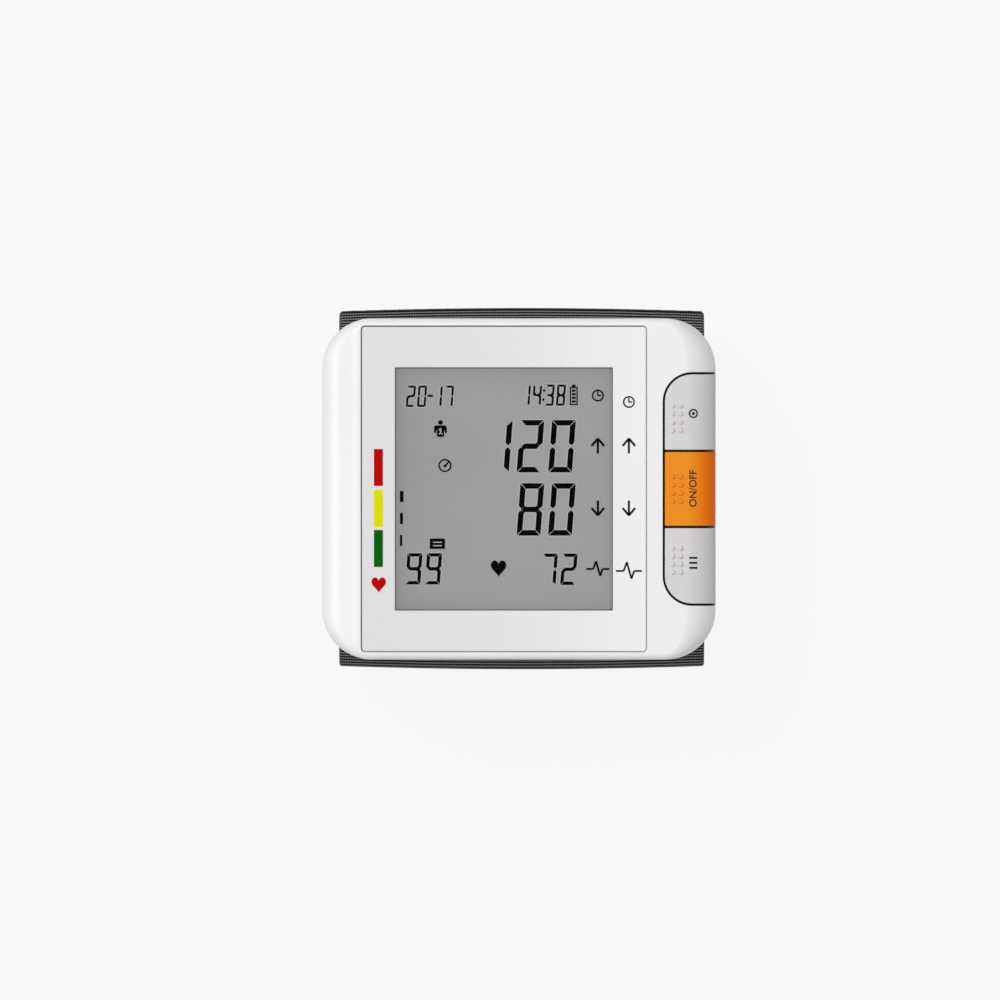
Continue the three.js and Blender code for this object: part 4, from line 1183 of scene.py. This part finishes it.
# Closing strap: a double layer of the ribbed cloth that carries on from the cuff's shoulder, down over the
# near side and round underneath to a round-cornered tip.
strap_thickness = 1.8 * MM
strap_edge = 0.8 * MM
tip_corner = 13 * MM
strap_far_centre = (far_centre[0], near_centre[1])
strap_route = [("line", (strap_high.y, strap_high.z), (strap_high.y, near_centre[1])),
               ("arc", near_centre, strap_radius, 0, -90),
               ("line", (near_centre[0], strap_low.z), (strap_far_centre[0], strap_low.z)),
               ("arc", strap_far_centre, strap_radius, -90, -138)]
strap_length = route_length(strap_route)


def strap_outline(along):
    middle = strap_thickness / 2
    half = middle * eased(along, -strap_edge, strap_length, strap_edge)
    narrowed = sleeve_half_width - draw_in(tip_corner, along, strap_length)
    return cloth_loop(narrowed, middle - half, middle + half, strap_edge)


def tip_stops(last, corner, step):
    """Closer stops over a round-cornered tip."""
    return [last - corner * (1 - math.cos(math.radians(angle))) for angle in range(step, 90, step)]


strap = wrapped("strap_band_cloth", strap_route, strap_outline,
                extra=tip_stops(strap_length, tip_corner, 5) + end_stops(0, strap_length, strap_edge))
paint(strap, ribbed_cloth)
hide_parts("strap_band")
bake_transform(strap)

# Seam tape: a strip of the binding tape sewn flat over the joint between the cuff's shoulder and the strap.
seam_above = 3.4 * MM
seam_below = 4.6 * MM
seam_thickness = 0.16 * MM
seam_edge = 0.15 * MM
seam_half_width = sleeve_half_width - 0.4 * MM
seam_steps = 24
shoulder_stretch = math.degrees(seam_above / cuff_corner)
seam_route = [("arc", shoulder_centre, cuff_corner, shoulder_stretch, 0),
              ("line", (sleeve_high.y, shoulder_centre[1]), (sleeve_high.y, shoulder_centre[1] - seam_below))]
seam_length = route_length(seam_route)


def seam_outline(along):
    half = seam_thickness / 2 * eased(along, 0, seam_length, seam_thickness)
    return cloth_loop(seam_half_width, -seam_thickness / 2 - half, -seam_thickness / 2 + half, seam_edge)


seam_stops = [seam_length * n / seam_steps for n in range(seam_steps)]
seam = wrapped("seam_tape", seam_route, seam_outline,
               extra=end_stops(0, seam_length, seam_thickness) + seam_stops)
paint(seam, tape_weave)
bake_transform(seam)

# Hook patch: the stiff half of a hook-and-loop closure, sewn inside the strap's end, with rows of short hooks
# that catch the cuff's cover.
hook_black = moulded_plastic("hook_black", (0.02, 0.02, 0.021), 0.55, grain=0.3, mottle=0.2)
hook_half_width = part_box("hook_patch")[1].x - sleeve_middle
hook_first = stretch_length(strap_route[0]) + stretch_length(strap_route[1])
hook_first += near_centre[0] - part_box("hook_patch")[1].y
hook_last = strap_length - strap_radius * math.radians(4)
hook_top, hook_base, hook_bottom = strap_thickness - 0.05 * MM, 2.3 * MM, 2.66 * MM
hook_foot, hook_tip = 0.28 * MM, 0.16 * MM
hook_pitch = 1.5 * MM
hook_margin = 0.8 * MM
hook_corner = 6 * MM
hook_edge = 0.2 * MM


def hook_outline(along):
    narrowed = hook_half_width - draw_in(hook_corner, along, hook_last)
    return cloth_loop(narrowed, hook_top, hook_base, hook_edge)


hook_pad = wrapped("hook_patch_base", strap_route, hook_outline, hook_first, hook_last,
                   tip_stops(hook_last, hook_corner, 10))
one_hook = started(bpy.ops.mesh.primitive_cone_add, vertices=5, radius1=hook_foot, radius2=hook_tip,
                   depth=hook_bottom - hook_base)
hooks = []
for row in range(1, int((hook_last - hook_first) / hook_pitch)):
    along = hook_first + row * hook_pitch
    inward = route_point(strap_route, along)[1]
    reach = hook_outline(along)[0][0] - hook_margin
    turn = Vector((0, inward.x, inward.y)).to_track_quat("Z", "X").to_matrix().to_4x4()
    columns = int(reach / hook_pitch)
    for column in range(-columns, columns + 1):
        x = (column + 0.5 * (row % 2)) * hook_pitch
        if abs(x) <= reach:
            place = Matrix.Translation(cloth_place(strap_route, along, x, (hook_base + hook_bottom) / 2))
            hooks.append(copied(one_hook, place @ turn))
bpy.data.objects.remove(one_hook)
hook_piece = joined("hook_patch_cloth", [hook_pad] + hooks)
dress(hook_piece, hook_black, "cuff_strap", "dark_plastic", "hook_patch")

# Stitching: lock-stitch rows in dark grey thread along the binding, across the seam tape and round the strap.
# Each stitch is a short length of thread with rounded ends, sunk a little into the cloth.
thread_grey = moulded_plastic("thread_grey", (0.075, 0.075, 0.08), 0.7, grain=0.2, mottle=0.15)
stitch_length = 2.3 * MM
stitch_pitch = 3.0 * MM
stitch_radius = 0.14 * MM
stitch_round = 0.6 * stitch_radius
stitch_sunk = 0.06 * MM
stitch_ahead = 0.2 * MM
binding_line = sleeve_half_width - tape_reach + 0.8 * MM
binding_first, binding_last = 3 * MM, sleeve_length - 6 * MM
seam_line = 1.1 * MM
seam_row_half = seam_half_width - 1.5 * MM
strap_inset = 2.2 * MM
strap_first, strap_last = 6 * MM, strap_length - 3.2 * MM
tip_line = strap_length - 2.6 * MM
hook_line = hook_first + 1.2 * MM
hook_row_half = hook_half_width - 1 * MM


def stitches_along(route, x_at, depth, first, last):
    """A row of stitches along a route, at an x that may change with the length."""
    row = []
    for number in range(int((last - first) / stitch_pitch)):
        middle = first + (number + 0.5) * stitch_pitch
        spots = (middle, middle + stitch_ahead)
        here, ahead = (cloth_place(route, spot, x_at(spot), depth) for spot in spots)
        turn = (ahead - here).to_track_quat("Z", "X").to_matrix().to_4x4()
        row.append(copied(one_stitch, Matrix.Translation(here) @ turn))
    return row


def stitches_across(route, along, depth, half_width):
    row = []
    count = int(2 * half_width / stitch_pitch)
    for number in range(count):
        x = (number - (count - 1) / 2) * stitch_pitch
        place = Matrix.Translation(cloth_place(route, along, x, depth))
        row.append(copied(one_stitch, place @ Matrix.Rotation(math.pi / 2, 4, "Y")))
    return row


def strap_line(along):
    return strap_outline(along)[3][0] - strap_inset


one_stitch = started(bpy.ops.mesh.primitive_cylinder_add, vertices=6, radius=stitch_radius,
                     depth=stitch_length, end_fill_type="TRIFAN")
bpy.ops.object.mode_set(mode="EDIT")
bpy.ops.mesh.select_all(action="SELECT")
bpy.ops.mesh.bevel(offset=stitch_round, segments=1)
bpy.ops.object.mode_set(mode="OBJECT")
bpy.ops.object.shade_smooth()
cuff_rows, strap_rows = [], []
for side in (-1, 1):
    cuff_rows += stitches_along(sleeve_route, lambda along, side=side: side * binding_line, tape_bottom,
                                binding_first, binding_last)
    strap_rows += stitches_along(strap_route, lambda along, side=side: side * strap_line(along), stitch_sunk,
                                 strap_first, strap_last)
cuff_rows += stitches_across(seam_route, seam_line, -seam_thickness, seam_row_half)
strap_rows += stitches_across(strap_route, tip_line, stitch_sunk, sleeve_half_width - tip_corner)
strap_rows += stitches_across(strap_route, hook_line, stitch_sunk, hook_row_half)
bpy.data.objects.remove(one_stitch)
dress(joined("cuff_stitching", cuff_rows), thread_grey, "main_unit", "soft_fabric")
dress(joined("strap_stitching", strap_rows), thread_grey, "cuff_strap", "soft_fabric")

# Fixings and contacts: plated steel screws, rivets, battery springs and contact plates, with the pump's motor
# can and the release valve.
stain_scale = 350
stain_tone = 0.86
plating_depth = 0.04 * MM


def plated_steel(name, colour, roughness):
    """Plated steel: a faint stain that takes off some of its colour and its shine."""
    material, tree, shader = fresh_material(name)
    place = tree.nodes.new("ShaderNodeTexCoord").outputs["Object"]
    stain = clouds(tree, place, stain_scale, 5)
    stained = [c * stain_tone for c in colour]
    fill_sockets(tree, shader, {"Metallic": 1.0, "Base Color": tones(tree, stain, stained, colour, 0.3, 0.7),
                                "Roughness": spread(tree, stain, roughness - 0.07, roughness + 0.09),
                                "Normal": relief(tree, stain, 0.08, plating_depth)})
    return material


def paint_solids(material, *names):
    for name in names:
        paint(bpy.data.objects[name], material)


screw_steel = plated_steel("screw_steel", (0.5, 0.51, 0.53), 0.3)
contact_nickel = plated_steel("contact_nickel", (0.6, 0.59, 0.56), 0.24)
can_steel = plated_steel("can_steel", (0.55, 0.56, 0.57), 0.36)
paint_solids(screw_steel, "cuff_rivet_left", "cuff_rivet_right", "case_screw_1", "case_screw_2",
             "case_screw_3", "case_screw_4", "board_screw_1", "board_screw_2", "board_screw_3")
paint_solids(contact_nickel, "battery_spring_lower", "battery_spring_upper", "battery_bridge_contact",
             "battery_contact_lower", "battery_contact_upper")
paint_solids(can_steel, "pump_motor", "release_valve")

# Cells: two plain metal-jacketed dry cells that lie one over the other behind the battery door, the upper one
# turned round. Each is a drawn can with a rolled rim, a printed jacket and a tip.
jacket_blue = plated_steel("jacket_blue", (0.042, 0.115, 0.255), 0.38)
cell_body = 43.7 * MM
cell_radius = (cell_high.z - cell_low.z) / 2
cell_rim = 0.4 * MM
jacket_turn_in = 0.3 * MM
tip_radius = 2.6 * MM
tip_rise = cell_high.y - cell_low.y - cell_body
cell_middle = Vector(((cell_low.x + cell_high.x) / 2, 0, (cell_low.z + cell_high.z) / 2))
upper_low, upper_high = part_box("battery_cell_upper")
upper_middle = Vector((cell_middle.x, 0, (upper_low.z + upper_high.z) / 2))
cell_place = (cell_middle.x, cell_low.y + cell_body / 2, cell_middle.z)
lower_cell = started(bpy.ops.mesh.primitive_cylinder_add, vertices=64, radius=cell_radius, depth=cell_body,
                     location=cell_place, rotation=(-math.pi / 2, 0, 0))
bpy.ops.object.mode_set(mode="EDIT")
bpy.ops.mesh.select_mode(type="FACE")
bpy.ops.mesh.select_all(action="DESELECT")
bpy.ops.object.mode_set(mode="OBJECT")
for face in lower_cell.data.polygons:
    face.select = face.normal.y > 0.9
bpy.ops.object.mode_set(mode="EDIT")
bpy.ops.mesh.inset(thickness=cell_radius - tip_radius)
bpy.ops.mesh.extrude_region_move(TRANSFORM_OT_translate={"value": (0, tip_rise, 0)})
bpy.ops.object.mode_set(mode="OBJECT")
soften(lower_cell, cell_rim, 3)
half_turn = Matrix.Rotation(math.pi, 4, "Z") @ Matrix.Translation(-cell_middle)
upper_cell = copied(lower_cell, Matrix.Translation(upper_middle) @ half_turn)
for cell, node, middle in ((lower_cell, "battery_cell_lower", cell_middle),
                           (upper_cell, "battery_cell_upper", upper_middle)):
    cell.name = node + "_can"
    dress(cell, jacket_blue, "main_unit", "cell_jacket", node)
    cell.data.materials.append(can_steel)
    for face in cell.data.polygons:
        off_axis = math.hypot(face.center.x - middle.x, face.center.z - middle.z)
        face.material_index = 1 if off_axis < cell_radius - jacket_turn_in else 0

# Air parts: a dark pump head, grey manifold and cuff port, and soft silicone tubes and seals between them.
# The same silicone makes the conductive strips that carry the display's signals.
works_dark = moulded_plastic("works_dark", (0.024, 0.024, 0.027), 0.5, grain=0.12, mottle=0.08)
port_grey = moulded_plastic("port_grey", (0.6, 0.585, 0.61), 0.42, grain=0.1)
silicone_milk = moulded_plastic("silicone_milk", (0.73, 0.71, 0.64), 0.5, grain=0.08, mottle=0.05)
paint_solids(works_dark, "pump_head", "control_chip", "buzzer", "pressure_sensor", "set_switch",
             "power_switch", "memory_switch", "cuff_stiffener")
paint_solids(port_grey, "air_port", "air_manifold")
paint_solids(silicone_milk, "port_seal", "pump_tube", "valve_tube", "sensor_tube", "lcd_strip_upper",
             "lcd_strip_lower")
paint_solids(case_white, "lcd_frame", "set_switch_plunger", "power_switch_plunger", "memory_switch_plunger")

# Main board: green solder mask over copper tracks, which show as a fine paler pattern. The board is screwed
# to standoffs in the tub and carries the display and the switches.
board_mask = moulded_plastic("board_mask", (0.014, 0.147, 0.042), 0.34, grain=0.05, mottle=0.12)
board_tree = board_mask.node_tree
board_place = board_tree.nodes["Texture Coordinate"].outputs["Object"]
tracks = new_node(board_tree, "TexBrick", {"Vector": board_place, "Scale": 160, "Mortar Size": 0.06})
fill_sockets(board_tree, tracks, {"Color1": (0.010, 0.12, 0.034, 1), "Color2": (0.016, 0.165, 0.05, 1),
                                  "Mortar": (0.03, 0.235, 0.08, 1)})
fill_sockets(board_tree, board_tree.nodes["Principled BSDF"], {"Base Color": tracks.outputs["Color"]})
paint_solids(board_mask, "main_board")
